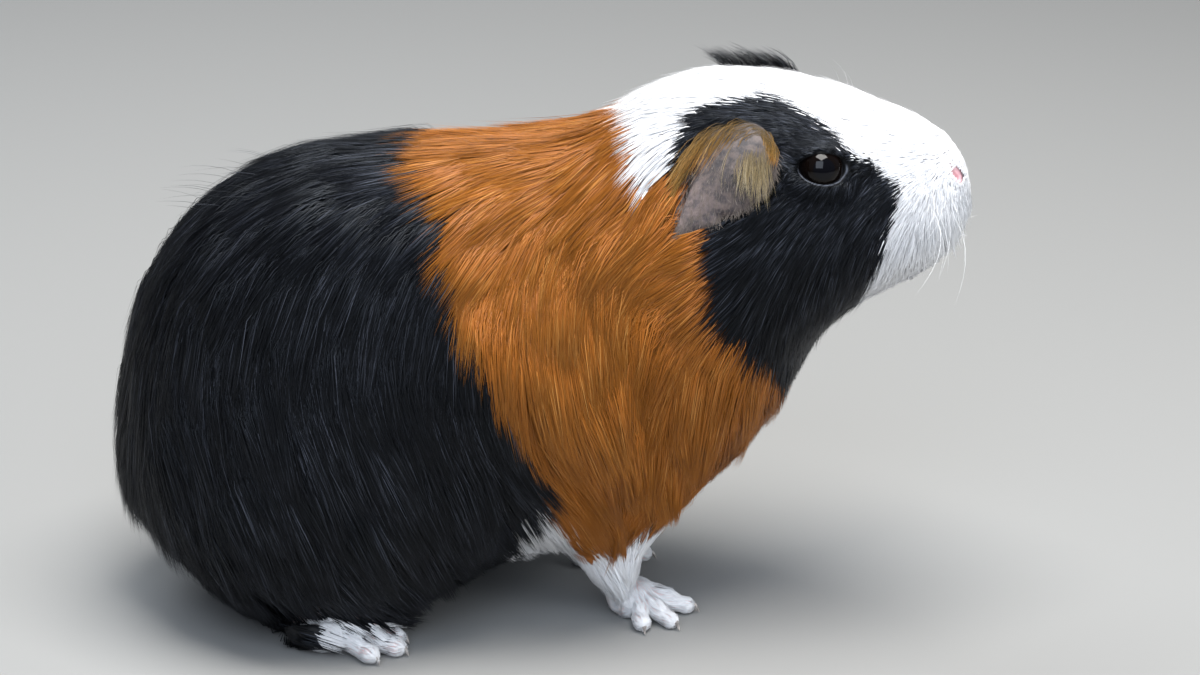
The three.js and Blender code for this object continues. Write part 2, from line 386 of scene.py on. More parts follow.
@dataclass
class HeadFrame:
    """The head's own axes, from a point between the eyes: ahead, left and up."""

    from_eyes: tuple[float, float, float] = (1.1, 0.0, -0.4)
    gaze: tuple[float, float, float] = (0.22, 0.955, 0.2)
    slit_droop: float = 0.06
    middle: Array = field(init=False)
    axes: Array = field(init=False)

    def __post_init__(self) -> None:
        """Finds the axes from the two eyes."""
        right, left = (self.eye_centre(side) for side in SIDES)
        leftwards = unit(left - right)
        ahead = unit(np.cross(leftwards, (0.0, 0.0, 1.0)))
        self.axes = np.array([ahead, leftwards, np.cross(ahead, leftwards)])
        self.middle = (right + left) / 2.0 + np.array(self.from_eyes) @ self.axes

    @staticmethod
    def eye_centre(side: str) -> Array:
        """The middle of one side's eye node, in millimetres."""
        low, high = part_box(f"eye_{side}")
        return np.array((low + high) / 2.0) / MM

    def eye_axes(self, side: str) -> Array:
        """One eye's headings: along its slit to the front, up, and out of the head.

        Args:
            side: Which eye.

        Returns:
            A row for each heading.
        """
        out = unit(np.array(self.gaze) * (1.0, SIDES[side], 1.0))
        along = unit(np.cross((0.0, 0.0, 1.0), out) * -SIDES[side])
        along = unit(along - self.slit_droop * np.array([0.0, 0.0, 1.0]))
        up = np.cross(out, along) * -SIDES[side]
        return np.array([along, up, out]) @ self.axes

    def eye_places(self, places: Array, side: str) -> Array:
        """Places of the row's frame, along, up and out from the middle of an eye."""
        return (places - self.eye_centre(side)) @ self.eye_axes(side).T

    def inwards(self, places: Array) -> Array:
        """Places of the row's frame, in the head's."""
        return (places - self.middle) @ self.axes.T

    def outwards(self, places: Array) -> Array:
        """Places of the head's frame, in the row's."""
        return places @ self.axes + self.middle

    def turned(self, vectors: Array) -> Array:
        """Headings of the head's frame, in the row's."""
        return vectors @ self.axes


@dataclass
class Ear:
    """The petal of an ear, in the head's frame, for the left side. Sizes are in millimetres."""

    middle: tuple[float, float, float] = (-26.4, 29.8, -2.3)
    along: tuple[float, float, float] = (-29.4, 12.5, -36.2)
    out: tuple[float, float, float] = (26.7, 12.3, -23.0)
    length: float = 36.0
    breadth: float = 10.4
    skew: float = 0.62
    bluntness: float = 0.85
    thickness: float = 1.5
    cup: float = 3.2
    fold: float = 0.7
    crimp: float = 0.35
    curl: float = 1.6
    nick_at: float = 0.66
    nick: float = 1.6
    root: float = 7.0
    inwards: tuple[float, float, float] = (0.25, -0.95, -0.15)
    segments: int = 72
    rings: int = 48

    def axes(self) -> Array:
        """The petal's headings: down its length, out to its free edge, and off its face.

        Returns:
            A row for each heading.
        """
        along = unit(np.array(self.along))
        face = unit(np.cross(np.array(self.out), along))
        return np.array([along, np.cross(along, face), face])

    def fullness(self, down: Array) -> Array:
        """1 where the petal is broadest and 0 at both ends, by the share of its length."""
        return np.maximum(np.sin(math.pi * np.clip(down, 0.0, 1.0) ** self.skew), 0.0)

    def half_breadth(self, down: Array) -> Array:
        """Half the petal's breadth at a share of its length."""
        return self.breadth * self.fullness(down) ** self.bluntness

    def lift(self, down: Array, across: Array) -> Array:
        """How far the petal's middle layer stands off its flat.

        Args:
            down: Share of the petal's length.
            across: From -1 at the root to 1 at the free edge.

        Returns:
            One height for each pair, in millimetres.
        """
        full = self.fullness(down)
        within = np.clip(across, -1.0, 1.0)
        cup = self.cup * (1.0 - within**2) * full
        fold = self.fold * np.sin(within * 2.6 + down * 3.0) * full
        crimp = self.crimp * np.sin(down * 31.0 + within * 4.0) * smoothstep(0.2, 1.0, within) * full
        curl = -self.curl * smoothstep(0.55, 1.0, within) * bell(down, 0.3, 0.3)
        return cup + fold + crimp + curl

    def surface(self, down: Array, across: Array, off: Array) -> Array:
        """Places on the petal, in the head's frame.

        Args:
            down: Share of its length, from the front corner to the tip.
            across: From -1 at the root to 1 at the free edge.
            off: How far off its middle layer, in millimetres.

        Returns:
            One place for each set of numbers.
        """
        along, out, face = self.axes()
        nick = self.nick * bell(down, self.nick_at, 0.03) * smoothstep(0.5, 1.0, across)
        reach = self.half_breadth(down) * across - nick
        return (
            np.array(self.middle)
            + np.multiply.outer(self.length * (down - 0.5), along)
            + np.multiply.outer(reach, out)
            + np.multiply.outer(self.lift(down, across) + off, face)
        )

    def build(self, head: HeadFrame, side: str) -> bpy.types.Object:
        """Shapes one ear's petal, whose root reaches into the head.

        Args:
            head: The head's frame.
            side: Which ear.

        Returns:
            The petal, closed.
        """
        petal = ball(self.segments, self.rings, 1.0)
        shape = places_of(petal) * MM
        down = 0.5 + 0.5 * shape[:, 2]
        turn = np.arctan2(shape[:, 1], shape[:, 0])
        across = np.cos(turn)
        thin = 1.0 - 0.45 * np.clip(across, 0.0, 1.0) ** 2
        off = 0.5 * self.thickness * np.sin(turn) * thin * np.minimum(1.0, 4.0 * np.sin(math.pi * down))
        places = self.surface(down, across, off)
        sunk = smoothstep(-0.55, -1.0, across) * np.sin(math.pi * down) ** 0.5
        places += np.multiply.outer(self.root * sunk, np.array(self.inwards))
        if side == "right":
            places[:, 1] *= -1.0
        set_places(petal, head.outwards(places))
        with editing(petal):
            bpy.ops.mesh.normals_make_consistent(inside=False)
        return petal

    def measured(self, places: Array) -> tuple[Array, Array, Array]:
        """Where places of the head's frame lie on the petal.

        Args:
            places: Places of the head's frame, on the left side.

        Returns:
            Down, across and off, as surface() takes them.
        """
        local = (places - np.array(self.middle)) @ self.axes().T
        down = local[:, 0] / self.length + 0.5
        across = local[:, 1] / np.maximum(self.half_breadth(down), 0.5)
        off = local[:, 2] - self.lift(down, np.clip(across, -1.0, 1.0))
        return down, across, off


class Foot(Enum):
    """The four feet, by the middle of their pads, in millimetres."""

    FORE_RIGHT = (25.6, -16.5, 4.4)
    FORE_LEFT = (14.6, 16.5, 4.4)
    HIND_RIGHT = (-56.4, -37.5, 5.4)
    HIND_LEFT = (-56.4, 37.5, 5.4)

    @property
    def node(self) -> str:
        """The name of the foot's node."""
        kind, side = self.name.lower().split("_")
        return f"{kind}foot_{side}"

    @property
    def pad_radius(self) -> float:
        """How wide the foot is at its pad."""
        return 5.6 if self in (Foot.FORE_RIGHT, Foot.FORE_LEFT) else 7.0

    @property
    def toe_radius(self) -> float:
        """How thick its toes are at their tips."""
        return 2.1 if self in (Foot.FORE_RIGHT, Foot.FORE_LEFT) else 2.4

    def tips(self) -> list[Array]:
        """The end of each toe, where its claw begins.

        Returns:
            One place for each toe, in millimetres.
        """
        half_claw, above_floor = 1.7, 0.15
        ends = []
        for name in frame["nodes"]:
            if name.startswith(f"claw_{self.node}_"):
                claw = np.sum(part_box(name), axis=0) / (2.0 * MM)
                ahead = unit((claw - np.array(self.value)) * (1.0, 1.0, 0.0))
                ends.append(np.append((claw - half_claw * ahead)[:2], self.toe_radius + above_floor))
        return ends


class Anatomy:
    """Where each region of the body is, how deep and long its coat is, and which way it lies."""

    head_cut = np.array([60.0, 106.0])
    head_pitch = math.radians(27.0)
    nose_tip = (36.0, 0.0, -4.0)
    rump_heading = (-0.3, 0.0, -1.0)
    rear, length_seen = -115.0, 232.0
    # Swings of the coat from backwards (0) to downwards (90), in degrees, by the share of the height.
    flank_lie = (
        (0.0, 0.05, 0.08, 0.12, 0.2, 0.26, 0.32, 0.38, 0.45, 0.6, 1.0),
        (0.0, 8.0, 28.0, 42.0, 60.0, 77.0, 89.0, 100.0, 108.0, 117.0, 122.0),
    )
    # The same on the chest, by the height, and on the cheek and the jaw, by the height from the eyes.
    chest_lie = (
        (30.0, 43.0, 52.0, 62.0, 71.0, 79.0, 87.0, 95.0, 102.0, 110.0, 117.0, 124.0, 130.0, 135.0),
        (48.0, 46.0, 64.0, 86.0, 81.0, 75.0, 62.0, 43.0, 30.0, 32.0, 52.0, 62.0, 42.0, 0.0),
    )
    cheek_lie = (
        (-50.0, -30.0, -25.0, -20.0, -15.0, -10.0, -6.0, -2.0, 2.0, 8.0, 14.0),
        (78.0, 72.0, 66.0, 60.0, 52.0, 43.0, 31.0, 21.0, 11.0, 4.0, 0.0),
    )
    jaw_lie = (
        (-35.0, -24.0, -16.0, -9.0, -5.0, 2.0, 6.0, 10.0, 14.0),
        (12.0, 22.0, 20.0, 30.0, 64.0, 58.0, 42.0, 20.0, 0.0),
    )
    # The height of the body's axis along its length.
    axis = ((-115.0, -40.0, 30.0, 70.0, 115.0), (50.0, 62.0, 84.0, 112.0, 116.0))
    # Lines along the crest of the shoulder and the hollow ahead of it, seen from the side.
    shoulder = [(-10.0, 90.0), (6.0, 72.0), (17.0, 55.0)]
    hollow = [(22.0, 92.0), (25.0, 80.0), (30.0, 63.0), (28.0, 52.0), (21.0, 44.0)]

    def __init__(self) -> None:
        """Reads the places of the head, feet, back and belly from the frame."""
        self.head = HeadFrame()
        self.ear = Ear()
        self.toes = [(foot, tip) for foot in Foot for tip in foot.tips()]
        self.forelegs = [self.node_box(f"foreleg_{side}") for side in SIDES]
        self.stations, self.back, self.belly = self.read_profile()

    @staticmethod
    def node_box(node: str) -> Array:
        """The lowest and highest corner of a node, in millimetres."""
        return np.array(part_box(node)) / MM

    @staticmethod
    def read_profile() -> tuple[Array, Array, Array]:
        """The height of the back and of the belly at stations along the body.

        Returns:
            The stations, and the two heights at each.
        """
        nodes = ("trunk", "neck", "head", "haunch_right", "haunch_left")
        places = np.concatenate([places_of(frame["nodes"][node]) for node in nodes])
        stations = np.arange(-112.0, 113.0, 8.0)
        near = [places[np.abs(places[:, 0] - station) < 7.0][:, 2] for station in stations]
        back = np.array([heights.max() for heights in near])
        belly = np.array([heights.min() for heights in near])
        return stations, back, belly

    def height_share(self, places: Array) -> Array:
        """0 on the line of the back and 1 on the line of the belly.

        Args:
            places: Places on the body, in millimetres.

        Returns:
            One number for each place.
        """
        back = np.interp(places[:, 0], self.stations, self.back)
        belly = np.interp(places[:, 0], self.stations, self.belly)
        return np.clip((back - places[:, 2]) / np.maximum(back - belly, 20.0), 0.0, 1.0)

    def ahead_of_neck(self, places: Array) -> Array:
        """How far each place is ahead of the slanting cut behind the head."""
        across = np.array([math.cos(self.head_pitch), math.sin(self.head_pitch)])
        return (places[:, (0, 2)] - self.head_cut) @ across

    def headness(self, places: Array) -> Array:
        """1 on the head and 0 on the trunk."""
        return smoothstep(-26.0, 6.0, self.ahead_of_neck(places))

    def footness(self, places: Array, reach: float = 3.0) -> Array:
        """1 on the feet and 0 beyond reach from them.

        Args:
            places: Places on the body, in millimetres.
            reach: Where it fades out, in millimetres.

        Returns:
            One number for each place.
        """
        nearest = np.full(len(places), np.inf)
        for foot, tip in self.toes:
            pad = np.array(foot.value)
            share = np.clip((places - pad) @ (tip - pad) / ((tip - pad) @ (tip - pad)), 0.0, 1.0)
            radius = foot.pad_radius + (foot.toe_radius - foot.pad_radius) * share
            away = np.linalg.norm(places - pad - share[:, None] * (tip - pad), axis=1)
            nearest = np.minimum(nearest, away - radius)
        return smoothstep(reach, 0.0, nearest)

    def legness(self, places: Array) -> Array:
        """1 on the forelegs, below the elbow."""
        low = smoothstep(30.0, 20.0, places[:, 2])
        return low * self.near_boxes(places, self.forelegs, 4.0)

    @staticmethod
    def near_boxes(places: Array, boxes: list[Array], reach: float) -> Array:
        """1 inside any of the boxes and 0 beyond reach from them all.

        Args:
            places: Places on the body, in millimetres.
            boxes: The corners of each box.
            reach: Where it fades out.

        Returns:
            One number for each place.
        """
        nearest = np.full(len(places), np.inf)
        for low, high in boxes:
            away = np.linalg.norm(np.maximum(np.maximum(low - places, places - high), 0.0), axis=1)
            nearest = np.minimum(nearest, away)
        return smoothstep(reach, 0.0, nearest)

    def earness(self, places: Array) -> Array:
        """1 on the petals of the ears and 0 off them.

        Args:
            places: Places on the body, in millimetres.

        Returns:
            One number for each place.
        """
        local = self.head.inwards(places)
        down, across, off = self.ear.measured(self.left_sided(local))
        within = (np.abs(across) < 1.08) & (down > -0.03) & (down < 1.03)
        return within * smoothstep(1.6, 1.1, np.abs(off))

    @staticmethod
    def left_sided(local: Array) -> Array:
        """Places of the head's frame, mirrored to the left side."""
        return np.column_stack([local[:, 0], np.abs(local[:, 1]), local[:, 2]])

    @staticmethod
    def eye_distance(places: Array) -> Array:
        """How far each place is from the middle of the nearer eye."""
        away = [np.linalg.norm(places - HeadFrame.eye_centre(side), axis=1) for side in SIDES]
        return np.min(away, axis=0)

    def nose_distance(self, local: Array) -> Array:
        """How far each place of the head's frame is from the tip of the nose."""
        return np.linalg.norm(local - np.array(self.nose_tip), axis=1)

    def depth(self, places: Array) -> Array:
        """How deep the coat is over the skin, in millimetres.

        Args:
            places: Places on the body, in millimetres.

        Returns:
            One number for each place.
        """
        local = self.head.inwards(places)
        headness = self.headness(places)
        ahead, _, up = local.T
        on_head = 3.2 - 1.2 * smoothstep(-5.0, 12.0, up) - 1.0 * smoothstep(-5.0, 25.0, ahead)
        on_head = on_head * smoothstep(3.0, 14.0, self.eye_distance(places)) + 0.5
        on_head = on_head * (0.4 + 0.6 * smoothstep(5.0, 20.0, self.nose_distance(local)))
        on_body = 4.7 - 0.9 * self.height_share(places) * smoothstep(-20.0, 30.0, places[:, 0])
        depth = on_body * (1.0 - headness) + on_head * headness
        low = smoothstep(0.0, 8.0, places[:, 2])
        depth = depth * (0.45 + 0.55 * low)
        depth = depth + (1.0 - depth) * self.legness(places)
        depth = depth + (0.8 - depth) * self.footness(places)
        return depth + (0.4 - depth) * self.earness(places)

    def relief(self, places: Array) -> Array:
        """How far the flesh swells at each place on the trunk, in millimetres.

        Args:
            places: Places on the body, in millimetres.

        Returns:
            One number for each place.
        """
        flat = places[:, (0, 2)]
        crest = bell(line_distance(flat, self.shoulder), 0.0, 9.0)
        hollow = bell(line_distance(flat, self.hollow), 0.0, 5.0)
        flank = smoothstep(10.0, 24.0, np.abs(places[:, 1]))
        swells = 0.5 * wander(places, 34.0, 41) + 0.35 * wander(places, 14.0, 42)
        return (2.8 * crest - 3.2 * hollow) * flank + swells * (1.0 - self.headness(places))

    def length(self, places: Array) -> Array:
        """How long the hair is, in millimetres.

        Args:
            places: Places on the body, in millimetres.

        Returns:
            One number for each place.
        """
        local = self.head.inwards(places)
        ahead, _, up = local.T
        headness = self.headness(places)
        on_back = bell(self.height_share(places), 0.0, 0.2)
        on_body = 29.0 + 3.0 * smoothstep(-60.0, -105.0, places[:, 0]) - 4.0 * on_back
        cheek = smoothstep(0.0, -30.0, up)
        on_head = 8.5 + 7.5 * cheek - 3.6 * smoothstep(0.0, 24.0, ahead)
        on_head = on_head * (0.6 + 0.4 * smoothstep(6.0, 18.0, self.eye_distance(places)))
        beard = smoothstep(-14.0, -25.0, up) * smoothstep(2.0, 14.0, ahead)
        on_head = on_head + 8.5 * beard
        on_head = on_head * (0.45 + 0.55 * smoothstep(5.0, 17.0, self.nose_distance(local)))
        length = on_body * (1.0 - headness) + on_head * headness
        length = length * (0.3 + 0.7 * smoothstep(0.0, 20.0, places[:, 2]))
        length = length + (9.0 - length) * self.legness(places)
        on_foot = 5.0 + 1.5 * smoothstep(0.0, -30.0, places[:, 0])
        return length + (on_foot - length) * self.footness(places)

    def lie(self, places: Array, normals: Array) -> Array:
        """Which way the coat lies, flat on the surface.

        Args:
            places: Places on the skin, in millimetres.
            normals: The skin's normals there.

        Returns:
            A heading of length 1 for each place.
        """
        side = np.where(places[:, 1] < 0.0, -1.0, 1.0)
        chest = smoothstep(4.0, 28.0, places[:, 0]) * smoothstep(92.0, 70.0, places[:, 2])
        body = self.swing_on_body(places) + (5.0 + 8.0 * chest) * wander(places, 26.0, 11)
        body = body + (4.0 + 5.0 * chest) * wander(places, 11.0, 12)
        on_body = self.swung(normals, np.array([-1.0, 0.0, 0.0]), side, body)
        rump = smoothstep(-92.0, -106.0, places[:, 0])[:, None]
        on_rump = tangent(np.tile(self.rump_heading, (len(places), 1)), normals)
        on_body = on_body * (1.0 - rump) + on_rump * rump

        local = self.head.inwards(places)
        head = self.swing_on_head(local) + 4.0 * wander(places, 15.0, 13) + 3.0 * wander(places, 6.0, 14)
        on_head = self.swung(normals, -self.head.axes[0], np.where(local[:, 1] < 0.0, -1.0, 1.0), head)
        eye = self.head.inwards(HeadFrame.eye_centre("left"))
        away = (self.left_sided(local) - eye) * (1.0, 0.0, 1.0)
        close = smoothstep(13.0, 6.0, self.eye_distance(places))[:, None]
        on_head = on_head + 0.9 * close * self.head.turned(unit(away))

        headness = self.headness(places)[:, None]
        heading = on_body * (1.0 - headness) + on_head * headness
        on_foot = self.along_toes(places)
        footness = self.footness(places, 4.0)[:, None]
        return tangent(heading * (1.0 - footness) + on_foot * footness, normals)

    def along_toes(self, places: Array) -> Array:
        """The heading from each place to the end of the toe that it is nearest to.

        Args:
            places: Places on the body, in millimetres.

        Returns:
            A heading of length 1 for each place.
        """
        nearest = np.full(len(places), np.inf)
        heading = np.zeros_like(places)
        for foot, tip in self.toes:
            away = edge_distance(places, np.array(foot.value), tip)
            closer = (away < nearest)[:, None]
            heading = np.where(closer, unit((tip - np.array(foot.value)) * (1.0, 1.0, 0.3)), heading)
            nearest = np.minimum(nearest, away)
        return heading

    @staticmethod
    def swung(normals: Array, back: Array, side: Array, degrees: Array) -> Array:
        """Headings on the surface, swung from backwards towards the ground.

        Args:
            normals: The surface's normals.
            back: Which way is backwards.
            side: -1 on the right side of the animal and 1 on its left.
            degrees: How far each heading swings: 90 is down the flank, and more leans forwards.

        Returns:
            The headings.
        """
        backwards = tangent(np.tile(back, (len(normals), 1)), normals)
        down = -side[:, None] * np.cross(normals, backwards)
        swing = np.radians(degrees)[:, None]
        return np.cos(swing) * backwards + np.sin(swing) * down

    def swing_on_body(self, places: Array) -> Array:
        """How far the coat swings from backwards to downwards on the trunk, neck and chest, in degrees.

        Args:
            places: Places on the body, in millimetres.

        Returns:
            One number for each place.
        """
        flank = np.interp(self.height_share(places), *self.flank_lie)
        chest = np.interp(places[:, 2], *self.chest_lie)
        forward = smoothstep(12.0, 38.0, places[:, 0])
        return flank * (1.0 - forward) + chest * forward

    def swing_on_head(self, local: Array) -> Array:
        """How far the coat swings from backwards to downwards on the head, in degrees.

        Args:
            local: Places of the head's frame.

        Returns:
            One number for each place.
        """
        ahead, _, up = local.T
        cheek, jaw = np.interp(up, *self.cheek_lie), np.interp(up, *self.jaw_lie)
        behind = smoothstep(-12.0, -27.0, ahead)
        lip = smoothstep(16.0, 32.0, ahead) * smoothstep(6.0, -8.0, up)
        return cheek * (1.0 - behind) + jaw * behind + 42.0 * lip

    def spine_place(self, places: Array) -> Array:
        """Each place on an unwrap of the body: its share of the length, and its angle round it.

        Args:
            places: Places on the body, in millimetres.

        Returns:
            A row of two numbers for each place, 0 to 1.
        """
        share = (places[:, 0] - self.rear) / self.length_seen
        angle = np.arctan2(places[:, 1], places[:, 2] - np.interp(places[:, 0], *self.axis))
        return np.column_stack([share, angle / (2.0 * math.pi) + 0.5])


class Region(Enum):
    """The parts that the coat is sown in."""

    BODY = "body"
    HEAD = "head"
    FEET = "feet"

    def share(self, anatomy: Anatomy, places: Array) -> Array:
        """1 where places are in the region and 0 off it, and off the ears.

        Args:
            anatomy: Where the parts of the body are.
            places: Places on the body, in millimetres.

        Returns:
            One number for each place.
        """
        longest_on_head = 11.0
        foot = anatomy.footness(places, 1.0) > 0.5
        long_coat = anatomy.length(places) >= longest_on_head
        inside = {Region.BODY: long_coat & ~foot, Region.HEAD: ~long_coat & ~foot, Region.FEET: foot}[self]
        return 1.0 * inside * (anatomy.earness(places) < 0.5)


HAIRS = {Region.BODY: 150000, Region.HEAD: 66000, Region.FEET: 13000}


class Markings:
    """The black, ginger and white of the coat, the same for the skin and the hair."""

    # Corners of the white of nape, crown, muzzle and chin, seen from the side in the head's frame.
    white = [
        (-58.5, 9.0), (-53.4, 8.3), (-51.0, 4.0), (-49.0, -1.0), (-46.3, -6.4), (-42.4, -2.4),
        (-39.2, 3.5), (-37.4, 9.5), (-36.6, 12.8), (-31.3, 15.4), (-17.5, 17.6), (-8.3, 14.9),
        (3.0, 8.5), (8.0, 3.2), (12.0, 1.4), (19.0, -5.0), (17.8, -14.0), (15.6, -22.5),
        (11.0, -34.0), (10.0, -44.0), (70.0, -44.0), (70.0, 50.0), (-70.0, 50.0),
    ]
    # Corners of the head that isn't ginger, whose rear edge runs from the nape to the throat.
    face = [
        (-42.0, 50.0), (-41.2, -1.5), (-36.0, -6.0), (-30.5, -13.0), (-30.2, -24.0), (-28.8, -34.0),
        (-25.4, -42.5), (-20.5, -47.5), (-13.0, -59.0), (-6.0, -70.0), (70.0, -70.0), (70.0, 50.0),
    ]
    # How far ahead the border of black and ginger is, and that of the white wedge at the elbow, by height.
    border = (
        (20.0, 42.0, 60.0, 72.0, 88.0, 106.0, 120.0, 128.0),
        (-7.0, 5.0, -3.0, -9.5, -18.0, -24.5, -28.0, -36.0),
    )
    elbow = ((20.0, 42.0), (12.0, 2.2))
    soft = 1.2

    def __init__(self, anatomy: Anatomy) -> None:
        """Keeps the anatomy that the markings lie on."""
        self.anatomy = anatomy

    def shares(self, places: Array, loose: Array | None = None) -> Array:
        """How black, ginger and white the coat is.

        Args:
            places: Places on the body, in millimetres.
            loose: How far each place's own border is moved, in millimetres, or none.

        Returns:
            Three shares that add up to 1, for each place.
        """
        local = self.anatomy.head.inwards(places)
        flat = local[:, (0, 2)]
        calm = 1.0 - 0.85 * self.anatomy.headness(places)
        shift = calm * (1.2 * wander(places, 17.0, 21) + 0.7 * wander(places, 6.0, 22))
        if loose is not None:
            shift = shift + loose
        left = smoothstep(-4.0, 12.0, places[:, 1])
        ahead, _, up = places.T
        soft = self.soft

        rump = smoothstep(soft, -soft, ahead - np.interp(up, *self.border) - 7.0 * left + shift)
        face = smoothstep(-soft, soft, inside_outline(flat, self.face) + shift)
        white = smoothstep(-soft, soft, inside_outline(flat, self.white) + shift)

        wedge = smoothstep(soft, -soft, ahead - np.interp(up, *self.elbow) + shift)
        wedge = wedge * smoothstep(43.5, 41.0, up + shift)
        hem = up + 0.5 * shift - 0.45 * (ahead - 20.0) + 0.25 * np.abs(np.abs(places[:, 1]) - 18.0)
        legs = smoothstep(24.0, 21.5, hem) * smoothstep(2.0, 8.0, ahead)
        low = np.clip(wedge * (1.0 - rump) + legs, 0.0, 1.0)
        white = np.maximum(white, low)
        black = np.maximum(rump * (1.0 - legs), face) * (1.0 - white)
        return np.column_stack([black, 1.0 - black - white, white])


# ---------------------------------------------------------------- materials


class Wire:
    """A socket's output, which takes part in sums written in Python."""

    def __init__(self, surface: "Surface", socket: bpy.types.NodeSocket) -> None:
        """Keeps the material that the socket is in."""
        self.surface = surface
        self.socket = socket

    def _maths(self, operation: str, *values: Any) -> "Wire":
        """A Math node on these values."""
        return self.surface.node("ShaderNodeMath", {"operation": operation}, dict(enumerate(values)))

    def __add__(self, other: Any) -> "Wire":
        """The sum."""
        return self._maths("ADD", self, other)

    def __sub__(self, other: Any) -> "Wire":
        """The difference."""
        return self._maths("SUBTRACT", self, other)

    def __rsub__(self, other: Any) -> "Wire":
        """The difference, turned round."""
        return self._maths("SUBTRACT", other, self)

    def __mul__(self, other: Any) -> "Wire":
        """The product."""
        return self._maths("MULTIPLY", self, other)

    __radd__ = __add__
    __rmul__ = __mul__

    def step(self, start: float, end: float) -> "Wire":
        """A smooth 0 to 1 as the value goes from start to end.

        Args:
            start: Where the step begins.
            end: Where it ends.

        Returns:
            The step.
        """
        settings = {"interpolation_type": "SMOOTHSTEP"}
        values = {"Value": self, "From Min": start, "From Max": end}
        return self.surface.node("ShaderNodeMapRange", settings, values)


class Surface:
    """A material and the nodes that feed its shader."""

    def __init__(self, name: str, **constants: Any) -> None:
        """Starts a material.

        Args:
            name: The finish's name.
            constants: What is the same all over, by the shader's socket with _ for each space.
        """
        self.material = bpy.data.materials.new(name)
        self.material.use_nodes = True
        self.nodes = self.material.node_tree.nodes
        self.shader = self.nodes["Principled BSDF"]
        for socket, value in constants.items():
            self.shader.inputs[socket.replace("_", " ")].default_value = value

    def node(self, kind: str, settings: dict[str, Any], values: dict[Any, Any], output: Any = 0) -> Wire:
        """Adds a node.

        Args:
            kind: The node's type.
            settings: The node's own settings, set first.
            values: A value or a Wire for each socket, by name or number.
            output: Which of the node's outputs is wanted.

        Returns:
            That output.
        """
        made = self.nodes.new(kind)
        for setting, value in settings.items():
            setattr(made, setting, value)
        for socket, value in values.items():
            self.feed(made.inputs[socket], value)
        return Wire(self, made.outputs[output])

    def feed(self, socket: bpy.types.NodeSocket, value: Any) -> None:
        """Links a Wire to a socket, or sets the socket to a value."""
        if isinstance(value, Wire):
            self.material.node_tree.links.new(value.socket, socket)
        else:
            socket.default_value = value

    def set(self, socket: str, value: Wire) -> None:
        """Links what changes over the surface to the shader."""
        self.feed(self.shader.inputs[socket], value)

    def mix(self, first: Any, second: Any, share: Any, blend: str = "MIX") -> Wire:
        """A colour between two."""
        settings = {"data_type": "RGBA", "blend_type": blend}
        return self.node("ShaderNodeMix", settings, {0: share, 6: first, 7: second}, output=2)

    def attribute(self, name: str) -> tuple[Wire, Wire, Wire]:
        """The three numbers of a vertex attribute.

        Args:
            name: The attribute's name.

        Returns:
            Its red, green and blue.
        """
        colour = self.node("ShaderNodeAttribute", {"attribute_name": name}, {})
        parts = [self.node("ShaderNodeSeparateColor", {}, {0: colour}, output=i) for i in range(3)]
        return parts[0], parts[1], parts[2]

    def place(self) -> Wire:
        """Object coordinates."""
        return self.node("ShaderNodeTexCoord", {}, {}, output="Object")

    def noise(self, size: float, detail: float = 3.0) -> Wire:
        """Noise about 0 to 1 whose swells are size across, in millimetres."""
        values = {"Vector": self.place(), "Scale": 1.0 / (size * MM), "Detail": detail}
        return self.node("ShaderNodeTexNoise", {}, values)

    def bump(self, height: Wire, depth: float) -> None:
        """Gives the surface a relief.

        Args:
            height: The relief, 0 to 1.
            depth: How high its 1 is, in millimetres.
        """
        values = {"Height": height, "Distance": depth * MM, "Strength": 1.0}
        self.set("Normal", self.node("ShaderNodeBump", {}, values))


def rgba(red: float, green: float, blue: float) -> tuple[float, float, float, float]:
    """An opaque colour."""
    return (red, green, blue, 1.0)


@dataclass(frozen=True)
class CoatFinish:
    """The colours of one of the coat's hairs, from root to tip."""

    name: str
    slot: str
    root: tuple[float, float, float]
    middle: tuple[float, float, float]
    tip: tuple[float, float, float]
    pale: tuple[float, float, float]
    pale_share: float
    roughness: float
    specular: float
    shade: float = 0.5
    softness: float = 0.6
    sheen: tuple[float, float, float] = (1.0, 1.0, 1.0)

    def material(self) -> bpy.types.Material:
        """The hair's material, which reads each lock's own numbers.

        Returns:
            The material.
        """
        surface = Surface(self.name, Roughness=self.roughness, Specular_IOR_Level=self.specular)
        surface.shader.inputs["Specular Tint"].default_value = rgba(*self.sheen)
        chance, along, clump = surface.attribute("lock")
        shaft = surface.mix(rgba(*self.root), rgba(*self.middle), along.step(0.05, 0.55))
        shaft = surface.mix(shaft, rgba(*self.tip), along.step(0.5, 1.0))
        # Pale strands at random; on black hair their bluish grey is partly a painted sheen.
        pale = (chance * 0.6 + clump * 0.4).step(1.0 - self.pale_share, 1.0) * along.step(0.2, 0.7)
        shaft = surface.mix(shaft, rgba(*self.pale), pale)
        half = 0.5 * self.shade
        level = (chance * 0.4 + clump * 0.6 + surface.noise(14.0)) * half + (1.0 - half)
        grey = surface.node("ShaderNodeCombineColor", {}, dict.fromkeys(range(3), level))
        surface.set("Base Color", surface.mix(shaft, grey, 1.0, "MULTIPLY"))
        return surface.material
